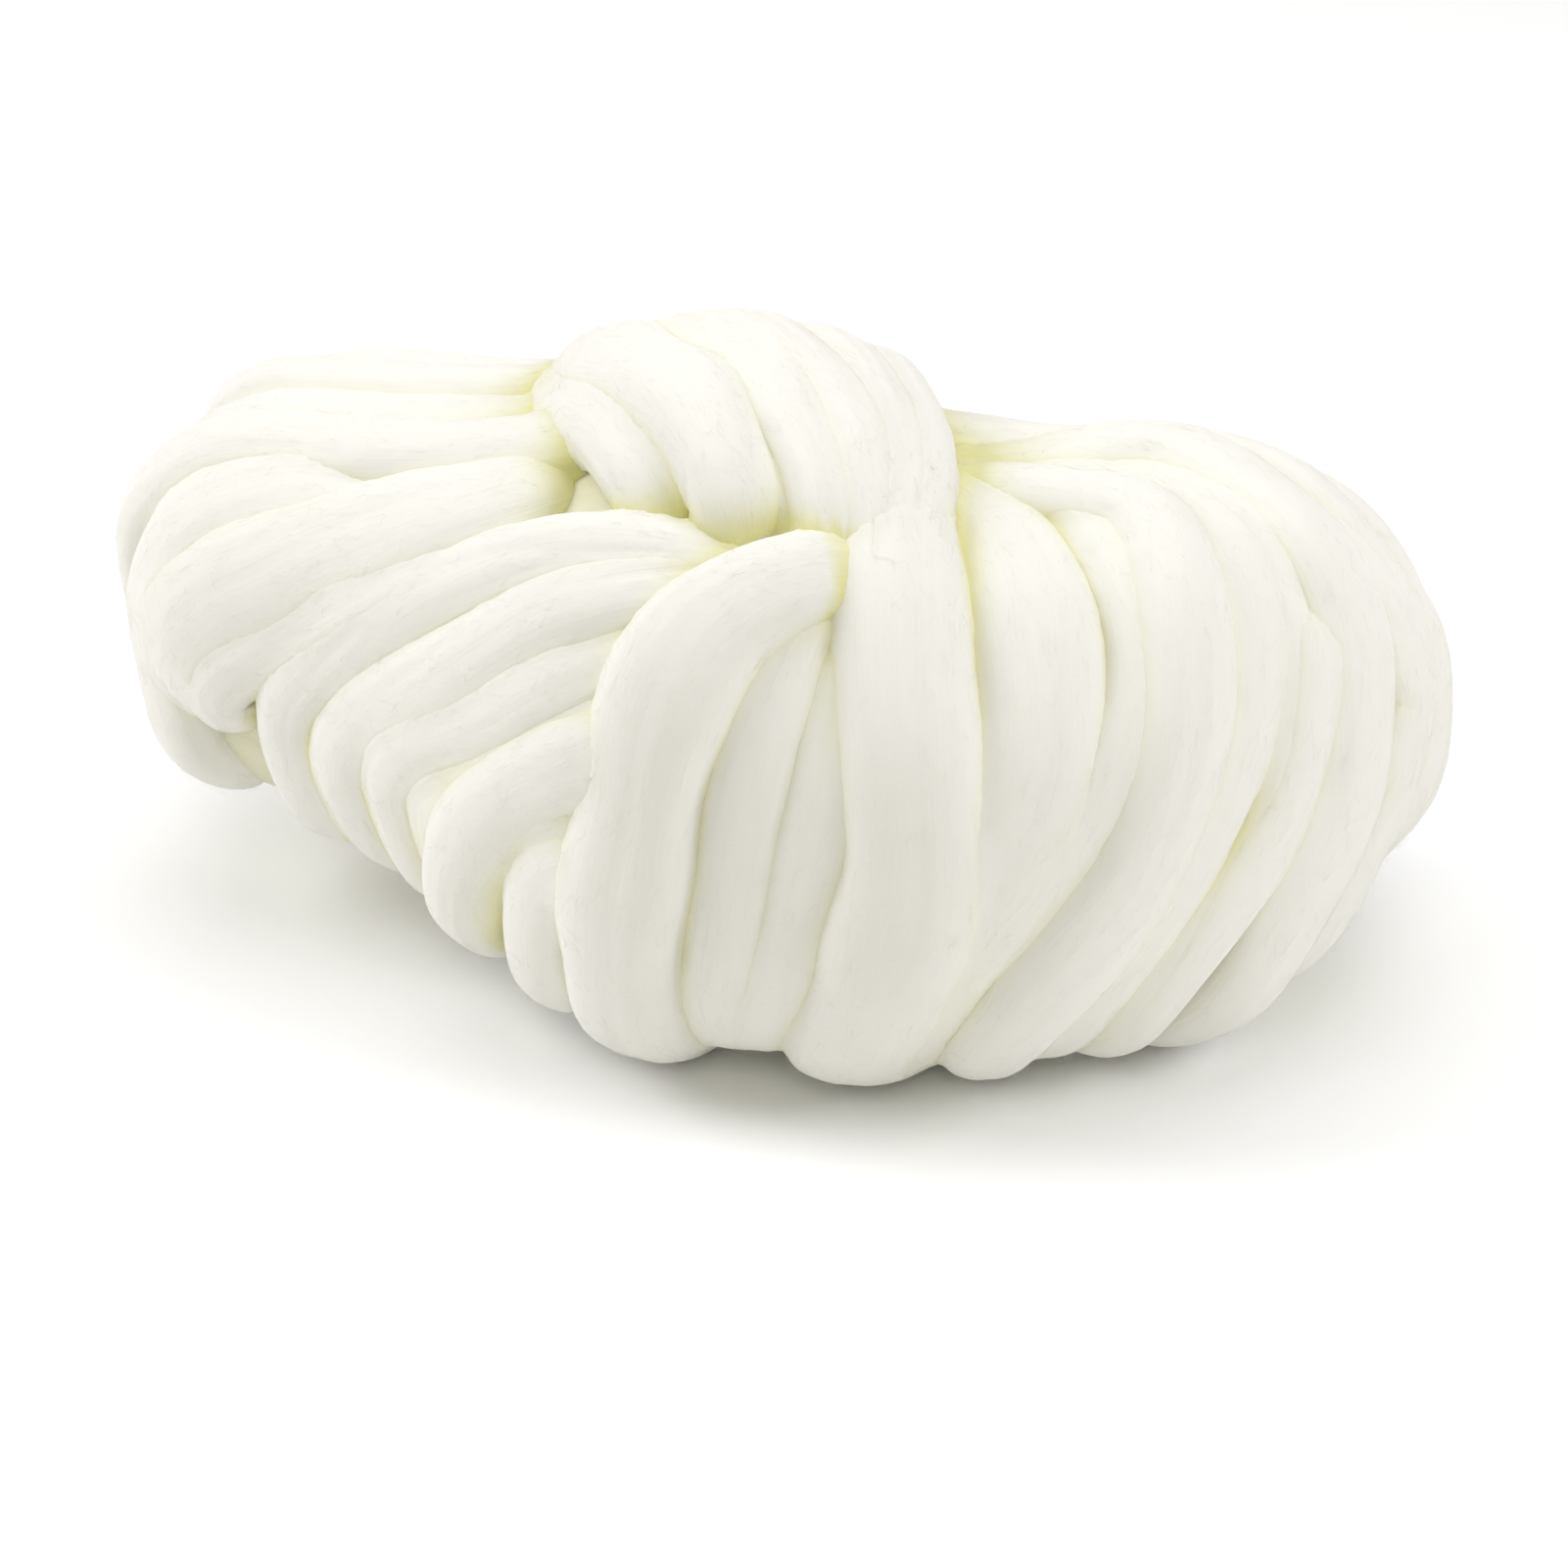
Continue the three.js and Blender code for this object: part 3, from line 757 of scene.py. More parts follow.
@dataclass(frozen=True)
class Lobe(Winding):
    """Turns over the right lobe, from the pinch on top down the front to their feet."""

    region: Region = Region.LOBE
    soft: float = 2.6
    pinch: Pair = (20.0, 92.0)
    pinch_sink: float = 12.0
    rise_clear: float = 8.0  # a turn that starts clear of the pinch rises out of it
    rise_share: float = 0.25
    rise_sink: float = 3.0
    ridge_clear: float = 30.0  # and one that starts far from it runs along the ridge first
    ridge_share: float = 0.6
    foot_x: float = 44.0
    under: Pair = (-72.0, 0.45)  # angle, and share of the way to the foot
    below: Pair = (-88.0, 0.8)
    foot_sink: float = 3.0
    angles: tuple[float, ...] = (78, 55, 30, 5, -20, -45)
    # name, width, lift, width left at the head, angle of the ridge, then x at each of the angles
    rows: tuple[tuple, ...] = (
        ("D", 29, 1.5, 0.7, 84, 21.5, 26.5, 33, 36, 30.5, 21),
        ("E", 28.5, -1.5, 0.8, 78, 39.5, 52.3, 58.3, 50, 36.5, 27.5),
        ("F", 14, 0.5, 0.9, 84, 57.5, 72, 75, 61.5, 44.5, 33),
        ("G", 22, 1.0, 0.75, 85, 70, 80.5, 84.5, 77.5, 62.5, 49.5),
        ("H", 17, -1.0, 0.9, 93, 83.5, 94, 97, 88.5, 75.5, 62),
        ("I", 19, -2.5, 0.9, 100, 91, 101.5, 105, 102, 89, 75),
        ("J", 25, 1.0, 0.9, 108, 103, 112.5, 115.5, 115, 107.5, 94.5),
        ("K", 19, 0.0, 0.9, 118, 114.5, 123.5, 126, 125.5, 121, 108),
    )

    def turn(self, name: str, width: float, lift: float, head: float, *path: float) -> Turn:
        """One turn, with a head of its own."""
        return replace(super().turn(name, width, lift, *path), head=head)

    def stations(self, lift: float, ridge: float, *xs: float) -> list[Triple]:
        """The stations of one turn.

        Args:
            lift: Its height over the form.
            ridge: The angle at which it runs along the top.
            xs: Its place along the hank at each of the angles.

        Returns:
            The stations, from the pinch to the foot.
        """
        x, angle = self.pinch
        past = xs[0] - x
        stations = [(x, angle, lift - self.pinch_sink)]
        if past > self.rise_clear:
            stations.append((x + self.rise_share * past, (ridge + angle) / 2, lift - self.rise_sink))
        if past > self.ridge_clear:
            stations.append((x + self.ridge_share * past, ridge, lift))
        stations += [(x, angle, lift) for x, angle in zip(xs, self.angles)]
        way = self.foot_x - xs[-1]
        stations.append((xs[-1] + self.under[1] * way, self.under[0], lift))
        stations.append((xs[-1] + self.below[1] * way, self.below[0], lift - self.foot_sink))
        return stations


@dataclass(frozen=True)
class Crown(Winding):
    """Turns over the crown of the fold, from behind to the pinch in front."""

    region: Region = Region.CROWN
    soft: float = 4.5
    tail: float = 0.7
    angles: tuple[float, ...] = (254, 225, 190, 150, 118, 96, 80, 66, 55)
    sinks: tuple[float, ...] = (7, 4, 3, 1, 0, 0, 0, 2, 9)
    flat_back: int = 4  # at the first angles a turn has no lift, so that it lies level with the rest behind
    # name, width, lift, then x at each of the angles
    rows: tuple[tuple, ...] = (
        ("t0b", 12, -1.0, -70, -76, -80, -70, -56, -45.5, -35.5, -26, -18.5),
        ("t0", 23.5, 2.5, -70, -78, -82, -76, -61, -51, -40, -29.5, -20.5),
        ("t1", 25.5, 7.0, -56, -62, -68, -63, -51, -40, -25, -12, -4),
        ("t1b", 15, 3.0, -50, -55, -60, -51, -35.5, -18, -7.5, 1.5, 7),
        ("t2", 18, 7.0, -42, -48, -53, -49, -34.5, -16.5, -4, 6.5, 12.5),
        ("t3", 17, 7.0, -30, -35, -39, -36, -22, -5.5, 7.5, 15.5, 20),
        ("t4", 16, 6.5, -20, -24, -27, -22, -8, 8.5, 16.5, 21, 24),
        ("t5", 15, 6.0, -10, -14, -15, -9, 5, 18.5, 24.5, 27, 28.5),
    )

    def stations(self, lift: float, *xs: float) -> list[Triple]:
        """The stations of one turn from behind to the pinch, from its x at each of the angles."""
        lifts = [0 if i < self.flat_back else lift for i in range(len(xs))]
        return [(x, angle, high - sink) for x, angle, high, sink in zip(xs, self.angles, lifts, self.sinks)]


@dataclass(frozen=True)
class Lap(Winding):
    """Turns lapped over the middle of the front, from under D's head to their feet."""

    region: Region = Region.LAP
    soft: float = 2.2
    head: float = 0.6
    sink: float = 12.0
    under: Triple = (8.0, -68.0, 0.0)  # past the last point's x, angle and extra lift
    below: Triple = (16.0, -86.0, -3.0)
    # name, width, lift, then x and angle of each point
    rows: tuple[tuple, ...] = (
        ("A", 27.5, 2.0, (27, 55), (11, 53), (-6, 42), (-17, 24), (-22.5, 2), (-24, -20), (-24, -42)),
        ("B", 18, -2.0, (22, 60), (14, 53), (8, 39), (3, 20), (0, 3), (-2.5, -16), (-6.5, -43)),
        ("C", 16, -1.5, (25, 56), (21, 46), (18, 30), (16.5, 14.5), (13.5, -4), (9, -20), (2, -43)),
    )

    def stations(self, lift: float, *points: Pair) -> list[Triple]:
        """The stations of one turn.

        Args:
            lift: Its height over the form.
            points: The place along the hank and the angle of each point.

        Returns:
            The stations, from its head to its foot.
        """
        foot = points[-1][0]
        stations = [(*points[0], lift - self.sink)] + [(*point, lift) for point in points[1:]]
        return stations + [(foot + x, angle, lift + extra) for x, angle, extra in (self.under, self.below)]


@dataclass(frozen=True)
class Fan(Winding):
    """Turns that fan out to the left from the fold. The first ends in a round tip, the others go below."""

    region: Region = Region.FAN
    soft: float = 2.8
    head: float = 0.6
    start_before: float = 12.0
    start_sink: float = 13.0
    pinch_sink: float = 4.0
    tip: Triple = (3.0, -14.0, -6.0)  # past the last point: x, angle and extra lift
    under_angle: float = 34.0
    under_lowest: float = -72.0
    under: Pair = (0.95, -1.5)  # share of the last point's x, and extra lift
    below: Triple = (0.86, -84.0, -6.0)  # the same, with the angle between them
    # name, width, lift, whether it has the tip, then x and angle at pinch, shoulder, elbow, hip and foot
    rows: tuple[tuple, ...] = (
        ("s1", 17, 1.5, True, (-58, 50), (-85, 37), (-103, 24), (-118, 9), (-129, -8)),
        ("s2", 18.5, 0.5, False, (-9, 52.5), (-38, 50.5), (-68, 43), (-96, 18), (-110, -8)),
        ("s3", 20, 0.0, False, (-9, 48), (-34.5, 41.5), (-62, 29), (-86, 7), (-95.5, -15)),
        ("s4", 17.5, 0.0, False, (-6, 41), (-36, 30), (-55, 20.5), (-72, 8), (-83, -12)),
        ("s5", 16, -1.0, False, (-8, 35), (-29, 25), (-48, 15.5), (-62, 3), (-71, -10)),
        ("s6", 20, 1.5, False, (-5, 28.5), (-30, 18.5), (-48, 7), (-61.5, -12), (-65, -32)),
        ("s7", 16, -0.5, False, (-10, 20), (-33, 10), (-45.5, -0.5), (-56, -15), (-62, -32)),
        ("s8", 19, 0.5, False, (-15, 8), (-31, 0), (-39.5, -9), (-44, -22), (-45, -42)),
    )

    def stations(self, lift: float, tipped: bool, *points: Pair) -> list[Triple]:
        """The stations of one turn.

        Args:
            lift: Its height over the form.
            tipped: Whether it ends in a round tip.
            points: The place along the hank and the angle of each point.

        Returns:
            The stations, from the fold to its foot or tip.
        """
        (x, angle), *inner = points
        foot_x, foot_angle = points[-1]
        stations = [(x + self.start_before, angle, lift - self.start_sink)]
        stations += [(x, angle, lift - self.pinch_sink), *((*point, lift) for point in inner)]
        if tipped:
            past, turned, extra = self.tip
            return stations + [(foot_x + past, foot_angle + turned, lift + extra)]
        lowest = max(foot_angle - self.under_angle, self.under_lowest)
        stations.append((foot_x * self.under[0], lowest, lift + self.under[1]))
        stations.append((foot_x * self.below[0], self.below[1], lift + self.below[2]))
        return stations


@dataclass(frozen=True)
class LongTurns(Winding):
    """Turns that run along the hank and round one end of it, and sink a little where they start and stop."""

    ends_sink: float = 6.0

    def stations(self, lift: float, *points: Pair) -> list[Triple]:
        """The stations of one turn from end to end, from the x and angle of each of its points."""
        sinks = [self.ends_sink, *[0] * (len(points) - 2), self.ends_sink]
        return [(*point, lift - sink) for point, sink in zip(points, sinks)]


@dataclass(frozen=True)
class Bundle(LongTurns):
    """The slim bundle: its turns come out of the fold, run to the left and go round its left end."""

    region: Region = Region.BUNDLE
    soft: float = 2.5
    # name, width, lift, then x and angle of each point
    rows: tuple[tuple, ...] = (
        ("b5", 26, -0.5, (-85, 60.5), (-108, 58), (-126, 51.5), (-139, 42), (-146, 20),
         (-148, -8), (-142, -40), (-129, -66)),
        ("b4", 28, 1.0, (-48, 71), (-67, 61), (-84, 52), (-101, 43), (-114, 34),
         (-127, 24), (-138, 2), (-136, -26)),
        ("b3", 21.5, 2.5, (-42, 79), (-77, 76.5), (-109, 73), (-130, 71), (-146, 68),
         (-155, 60), (-155, 262), (-145, 262)),
        ("b2", 21, 0.5, (-45, 96), (-80, 94), (-115, 91), (-135, 90), (-149, 94),
         (-157, 180), (-152, 245), (-130, 262)),
        ("b1", 22, 4.0, (-45, 112), (-85, 109), (-118, 108), (-136, 116), (-147, 142),
         (-150, 180), (-145, 222), (-122, 250)),
        ("b0", 22, 6.0, (-50, 127), (-90, 125), (-116, 128), (-131, 148), (-139, 180),
         (-135, 215), (-120, 240), (-98, 252)),
        ("b6", 21, 3.0, (-60, 150), (-92, 150), (-112, 156), (-125, 176), (-124, 205),
         (-111, 232), (-92, 246), (-70, 256)),
        ("b7", 20, 0.0, (-60, 172), (-88, 174), (-104, 184), (-110, 202), (-103, 226),
         (-88, 242), (-70, 252), (-50, 256)),
        ("b8", 19, 0.0, (-62, 196), (-80, 199), (-90, 210), (-89, 226), (-79, 240),
         (-65, 250), (-50, 256), (-38, 258)),
    )


@dataclass(frozen=True)
class Back(LongTurns):
    """Turns that come out of the fold behind the lobe and go round its right end."""

    region: Region = Region.BACK
    soft: float = 5.0
    # name, width, lift, then x and angle of each point; the first is a short turn down the lobe's front
    rows: tuple[tuple, ...] = (
        ("i2", 15, 1.0, (103.5, 58), (106.5, 47), (107, 32), (103.5, 6), (90.5, -20),
         (76, -45), (62, -70), (52, -88)),
        ("k1", 20, -0.5, (8, 108), (42, 119), (78, 119), (101, 110), (117, 88),
         (125, 50), (124, 5), (112, -50)),
        ("k2", 20, 0.0, (-2, 122), (38, 132), (78, 134), (104, 129), (120, 112),
         (128, 60), (126.5, -12), (114, -58)),
        ("k3", 20, 0.5, (-14, 138), (33, 146), (78, 150), (104, 150), (119, 146),
         (129, 110), (128.5, -45), (114, -74)),
        ("l", 20, 0.0, (-18, 155), (33, 161), (78, 166), (104, 170), (118, 178),
         (127, 215), (125, 268), (108, 274)),
        ("m", 20, 0.5, (-20, 172), (33, 177), (74, 184), (98, 192), (112, 208),
         (116, 236), (106, 258), (88, 268)),
        ("n", 20, 0.0, (-20, 189), (30, 194), (64, 202), (86, 213), (96, 231),
         (91, 250), (76, 262), (60, 268)),
        ("o", 20, 0.0, (-20, 206), (26, 211), (52, 220), (68, 233), (71, 246),
         (63, 257), (50, 264), (36, 268)),
        ("p", 19, 0.0, (-20, 223), (18, 228), (36, 237), (45, 248), (41, 257),
         (30, 263), (18, 267), (6, 268)),
    )


@dataclass(frozen=True)
class InnerWinding:
    """The winding under the turns, which closes the grooves between them."""

    lift: float = -1.5
    bulge: float = 11.5  # how much lower the middle of its base comes, from rest_left to rest_right
    bulge_power: float = 8.0
    rest_left: float = -45.0
    rest_right: float = 75.0
    rest_fade: float = 35.0
    inset: float = 4.0
    steps: int = 72
    sides: int = 72
    mean_radius: float = 55.0  # for the spread of its fibre pattern round it
    shade: float = 0.45  # painted shade over the whole winding, between the crest colour and the painted shade colour

    def piece(self, form: WoundForm, place: Placement) -> Piece:
        """The winding as a closed piece.

        Args:
            form: The wound form.
            place: Where the drawing's frame lies in the model's frame.

        Returns:
            The piece, in metres.
        """
        low, high = form.left + self.inset, form.right - self.inset
        x = (low + high) / 2 - np.cos(np.linspace(0, np.pi, self.steps + 1)) * (high - low) / 2
        angles = np.linspace(0, 360, self.sides, endpoint=False)
        past = np.maximum(np.maximum(self.rest_left - x, x - self.rest_right), 0)
        bulge = self.bulge * (1 - smoothstep(past / self.rest_fade))
        below = np.maximum(0, -np.sin(np.radians(angles)))
        lift = self.lift + bulge[:, None] * below[None, :] ** self.bulge_power
        rings = form.surface(x[:, None], angles[None, :], lift)
        along = x - x[0]
        round_it = np.linspace(0, 2 * np.pi * self.mean_radius, self.sides + 1)
        shade = np.full(rings.shape[:2], self.shade)
        return ring_piece(place.metres(rings), along * MM, round_it * MM, shade)


@dataclass(frozen=True)
class Fuzz:
    """Loose fibres that stand a little off the roving. Millimetres."""

    spacing: float = 7.0  # square millimetres of turn for each fibre
    girth: float = 1.6  # of the side that shows, in widths of the turn
    showing: Pair = (-10.0, 190.0)  # the angles of that side, in degrees
    bare_rings: int = 3  # at each end of a turn
    longest: float = 8.0
    shortest: float = 2.5
    radius: float = 0.026
    tip: float = 0.35  # the share of the radius at a fibre's end
    root: float = 0.25  # how deep it starts
    rise: float = 2.6  # no fibre rises further
    rise_shape: Pair = (1.3, 3.0)  # and most less than half as far
    straying: float = 0.45  # from the turn's own direction, in radians
    curl: float = 1.6
    steep: float = 0.9  # a fibre that rises faster than this share of its length counts as upright
    joints: int = 4
    sides: int = 3

    def piece(self, shape: Swept, place: Placement, seed: int) -> Piece:
        """The fibres of one turn.

        Args:
            shape: The turn.
            place: Where the drawing's frame lies in the model's frame.
            seed: The seed of their places.

        Returns:
            The fibres as thin closed tubes, in metres.
        """
        rng = np.random.default_rng(seed)
        rings, sides = shape.rings.shape[:2]
        area = shape.along[-1] * shape.turn.width * self.girth
        count = int(area / self.spacing)
        i = rng.integers(self.bare_rings, rings - self.bare_rings, count)
        low, high = self.showing
        showing = np.where((shape.angles > low) & (shape.angles < high))[0]
        j = rng.choice(showing, count)
        i, j = i[shape.shown[i, j]], j[shape.shown[i, j]]
        count = len(i)
        root = shape.rings[i, j]
        along = unit(shape.rings[i + 1, j] - shape.rings[i - 1, j])
        across = shape.rings[i, (j + 1) % sides] - shape.rings[i, j - 1]
        out = unit(np.cross(across, along))
        out *= np.sign(np.sum(out * (root - shape.sections.middle[i]), 1, keepdims=True))
        across = np.cross(along, out)
        heading = rng.normal(0, self.straying, count) + np.where(rng.random(count) < 0.5, 0, np.pi)
        way = along * np.cos(heading)[:, None] + across * np.sin(heading)[:, None]
        turn_way = np.cross(out, way)
        length = rng.uniform(self.shortest, self.longest, count)
        rise = self.rise * rng.beta(*self.rise_shape, count)
        curl = self.curl * rng.normal(0, 1, count)
        t = np.linspace(0, 1, self.joints)
        arch = np.sin(np.pi / 2 * t)[None, :] * rise[:, None] - self.root
        swing = (t[None, :] ** 2) * curl[:, None]
        line = (
            root[:, None]
            + way[:, None] * (t[None, :] * length[:, None])[..., None]
            + turn_way[:, None] * swing[..., None]
            + out[:, None] * arch[..., None]
        )
        return self.hairs(line, place)

    def hairs(self, lines: np.ndarray, place: Placement) -> Piece:
        """Thin closed tubes along lines.

        Args:
            lines: Points by fibre and by joint.
            place: Where the drawing's frame lies in the model's frame.

        Returns:
            All the tubes as one piece, in metres.
        """
        count, joints = lines.shape[:2]
        tangent = unit(np.gradient(lines, axis=1))
        helper = np.where(np.abs(tangent[..., 2:]) < self.steep, [0.0, 0.0, 1.0], [1.0, 0.0, 0.0])
        a = unit(np.cross(tangent, helper))
        b = np.cross(tangent, a)
        radius = self.radius * np.linspace(1.0, self.tip, joints)[None, :, None, None]
        turn = np.arange(self.sides) * 2 * np.pi / self.sides
        ring = a[:, :, None] * np.cos(turn)[:, None] + b[:, :, None] * np.sin(turn)[:, None]
        points = place.metres(lines[:, :, None] + ring * radius)
        index = np.arange(count * joints * self.sides).reshape(count, joints, self.sides)
        after = np.roll(index, -1, axis=2)
        quads = np.stack([index[:, :-1], index[:, 1:], after[:, 1:], after[:, :-1]], -1).reshape(-1, 4)
        start = index[:, 0, ::-1]
        end = index[:, -1]
        triangles = np.concatenate([start, end])[:, ::-1]
        return Piece(
            points=points.reshape(-1, 3),
            faces=[quads, triangles],
            uv=[np.zeros((len(quads), 4, 2)), np.zeros((len(triangles), 3, 2))],
            shade=np.zeros(count * joints * self.sides),
        )


@dataclass(frozen=True)
class StrayFibre:
    """The one longer fibre that curls over a turn. Millimetres and degrees."""

    turn: str = "D"
    radius: float = 0.11
    lift: float = 0.4
    # distance along the turn and angle round its section
    points: tuple[Pair, ...] = (
        (40.5, 59), (44.5, 59.5), (47.8, 60), (49.5, 63.5), (49.3, 70), (49.8, 75), (51.3, 79),
    )

    def piece(self, shape: Swept, place: Placement) -> Piece:
        """The fibre on its turn.

        Args:
            shape: The turn.
            place: Where the drawing's frame lies in the model's frame.

        Returns:
            The fibre as a thin closed tube, in metres.
        """
        along, angles = np.array(self.points, float).T
        rising = shape.angles[: np.argmax(shape.angles) + 1]
        i, ring_share = np.divmod(np.interp(along, shape.along, np.arange(len(shape.along))), 1)
        j, side_share = np.divmod(np.interp(angles, rising, np.arange(len(rising))), 1)
        i, j = i.astype(int), j.astype(int)
        ring_share, side_share = ring_share[:, None], side_share[:, None]
        before, after = (
            (1 - side_share) * shape.rings[k, j] + side_share * shape.rings[k, j + 1] for k in (i, i + 1)
        )
        knots = (1 - ring_share) * before + ring_share * after
        line = smooth_curve(knots + unit(knots - shape.sections.middle[i]) * self.lift, steps=4)
        return Fuzz(radius=self.radius).hairs(line[None], place)


def new_group(name: str, inputs: dict[str, float | str], outputs: dict[str, str]) -> bpy.types.NodeTree:
    """A shader node group with named sockets.

    Args:
        name: The group's name.
        inputs: Each input's default value, or its socket type.
        outputs: Each output's socket type.

    Returns:
        The group, with its input and output nodes.
    """
    group = bpy.data.node_groups.new(name, "ShaderNodeTree")
    for label, value in inputs.items():
        kind = value if isinstance(value, str) else "NodeSocketFloat"
        socket = group.interface.new_socket(name=label, in_out="INPUT", socket_type=kind)
        if not isinstance(value, str):
            socket.default_value = value
    for label, kind in outputs.items():
        group.interface.new_socket(name=label, in_out="OUTPUT", socket_type=kind)
    group.nodes.new("NodeGroupInput").name = "in"
    group.nodes.new("NodeGroupOutput").name = "out"
    return group


def fed(tree: bpy.types.NodeTree, node: bpy.types.Node, inputs: Inputs) -> bpy.types.Node:
    """A node with its inputs linked or set.

    Args:
        tree: The node's tree.
        node: The node.
        inputs: For each input, the socket that feeds it or its value.

    Returns:
        The same node.
    """
    for key, value in inputs.items():
        if isinstance(value, bpy.types.NodeSocket):
            tree.links.new(value, node.inputs[key])
        else:
            node.inputs[key].default_value = value
    return node


def new_material(name: str, values: Inputs) -> bpy.types.Material:
    """A material whose shader has these values.

    Args:
        name: Its name.
        values: The value of each of the shader's sockets that isn't left as it is.

    Returns:
        The material.
    """
    material = bpy.data.materials.new(name)
    material.use_nodes = True
    fed(material.node_tree, material.node_tree.nodes["Principled BSDF"], values)
    return material


class CombedFibre:
    """The fine streaks of combed fibre along the roving, as a node group."""

    clump_height: float = 1.4  # against that of the streaks

    def __init__(self) -> None:
        """Build the group once."""
        self.group = new_group(
            "combed_fibre",
            {"Vector": "NodeSocketVector", "Streaks": 900.0, "Stretch": 26.0, "Clumps": 230.0},
            {"Height": "NodeSocketFloat", "Tone": "NodeSocketFloat"},
        )
        group = self.group
        entry = group.nodes["in"].outputs
        split = fed(group, group.nodes.new("ShaderNodeSeparateXYZ"), {0: entry["Vector"]}).outputs
        place = {"X": self.math("DIVIDE", split["X"], entry["Stretch"]), "Y": split["Y"], "Z": split["Z"]}
        vector = fed(group, group.nodes.new("ShaderNodeCombineXYZ"), place).outputs[0]
        streaks = self.noise(vector, entry["Streaks"], detail=4.0, roughness=0.6, distortion=0.3)
        clumps = self.noise(vector, entry["Clumps"], detail=2.0, roughness=0.5, distortion=0.6)
        height = self.math("MULTIPLY_ADD", clumps, self.clump_height, streaks)
        fed(group, group.nodes["out"], {"Height": height, "Tone": self.math("MULTIPLY", streaks, clumps)})

    def math(self, operation: str, *values: bpy.types.NodeSocket | float) -> bpy.types.NodeSocket:
        """A sum with sockets or numbers.

        Args:
            operation: What is worked out.
            values: What from.

        Returns:
            The result's socket.
        """
        node = self.group.nodes.new("ShaderNodeMath")
        node.operation = operation
        return fed(self.group, node, dict(enumerate(values))).outputs[0]

    def noise(
        self, vector: bpy.types.NodeSocket, scale: bpy.types.NodeSocket, **values: float
    ) -> bpy.types.NodeSocket:
        """A noise along the roving.

        Args:
            vector: The place, shrunk along the roving.
            scale: The scale across the roving.
            values: The noise's other inputs.

        Returns:
            The noise's socket.
        """
        inputs = {"Vector": vector, "Scale": scale} | {key.title(): value for key, value in values.items()}
        return fed(self.group, self.group.nodes.new("ShaderNodeTexNoise"), inputs).outputs["Fac"]


@dataclass(frozen=True)
class WoolFinish:
    """The finish of a piece of roving: linear colours, with painted shade between the turns, gloss and fibre
    relief.
    """

    name: str
    crest: Triple = (0.785, 0.77, 0.715)  # where fibre lies open to the light
    painted_shade: Triple = (0.68, 0.655, 0.3)  # painted shade colour, darker and yellower, down between the turns
    streak: float = 0.06
    streak_warmth: float = 0.97
    relief: float = 0.0001
    sheen: float = 0.35
    sheen_roughness: float = 0.5
    sheen_tint: Triple = (1.0, 0.99, 0.95)
    specular: float = 0.18
    roughness: float = 0.92

    def build(self, fibre: CombedFibre) -> bpy.types.Material:
        """Make the material.

        Args:
            fibre: The shared fibre effect.

        Returns:
            The material.
        """
        gloss = {"Roughness": self.roughness, "Specular IOR Level": self.specular}
        sheen = {"Sheen Weight": self.sheen, "Sheen Roughness": self.sheen_roughness}
        material = new_material(self.name, gloss | sheen | {"Sheen Tint": (*self.sheen_tint, 1.0)})
        tree = material.node_tree
        uv = tree.nodes.new("ShaderNodeUVMap")
        uv.uv_map = "roving"
        effect = tree.nodes.new("ShaderNodeGroup")
        effect.node_tree = fibre.group
        fed(tree, effect, {"Vector": uv.outputs["UV"]})
        # Painted shade: the colour goes from the crest colour towards the painted shade colour by each
        # point's painted shade value.
        depth = tree.nodes.new("ShaderNodeAttribute")
        depth.attribute_name = "painted_shade"
        low = 1 - self.streak
        dark = (low, low, low * self.streak_warmth)
        across = self.mix(tree, "MIX", depth.outputs["Fac"], (*self.crest, 1.0), self.painted_shade)
        colour = self.mix(tree, "MULTIPLY", effect.outputs["Tone"], across, dark)
        relief = {"Distance": self.relief, "Height": effect.outputs["Height"]}
        bump = fed(tree, tree.nodes.new("ShaderNodeBump"), relief)
        shader = tree.nodes["Principled BSDF"]
        fed(tree, shader, {"Base Color": colour, "Normal": bump.outputs["Normal"]})
        return material

    @staticmethod
    def mix(
        tree: bpy.types.NodeTree,
        blend: str,
        share: bpy.types.NodeSocket,
        first: bpy.types.NodeSocket | tuple[float, ...],
        second: Triple,
    ) -> bpy.types.NodeSocket:
        """A colour mixed from two.

        Args:
            tree: The material's nodes.
            blend: How they mix.
            share: The share of the second colour.
            first: The first colour, or the socket that gives it.
            second: The second colour.

        Returns:
            The colour's socket.
        """
        node = tree.nodes.new("ShaderNodeMix")
        node.data_type = "RGBA"
        node.blend_type = blend
        return fed(tree, node, {"Factor": share, "A": first, "B": (*second, 1.0)}).outputs["Result"]


@dataclass(frozen=True)
class TableFinish:
    """The matt white top of the table."""

    name: str = "white_table"
    colour: Triple = (0.95, 0.95, 0.945)
    roughness: float = 0.9
    specular: float = 0.1

    def build(self) -> bpy.types.Material:
        """Make the material."""
        gloss = {"Roughness": self.roughness, "Specular IOR Level": self.specular}
        return new_material(self.name, gloss | {"Base Color": (*self.colour, 1.0)})


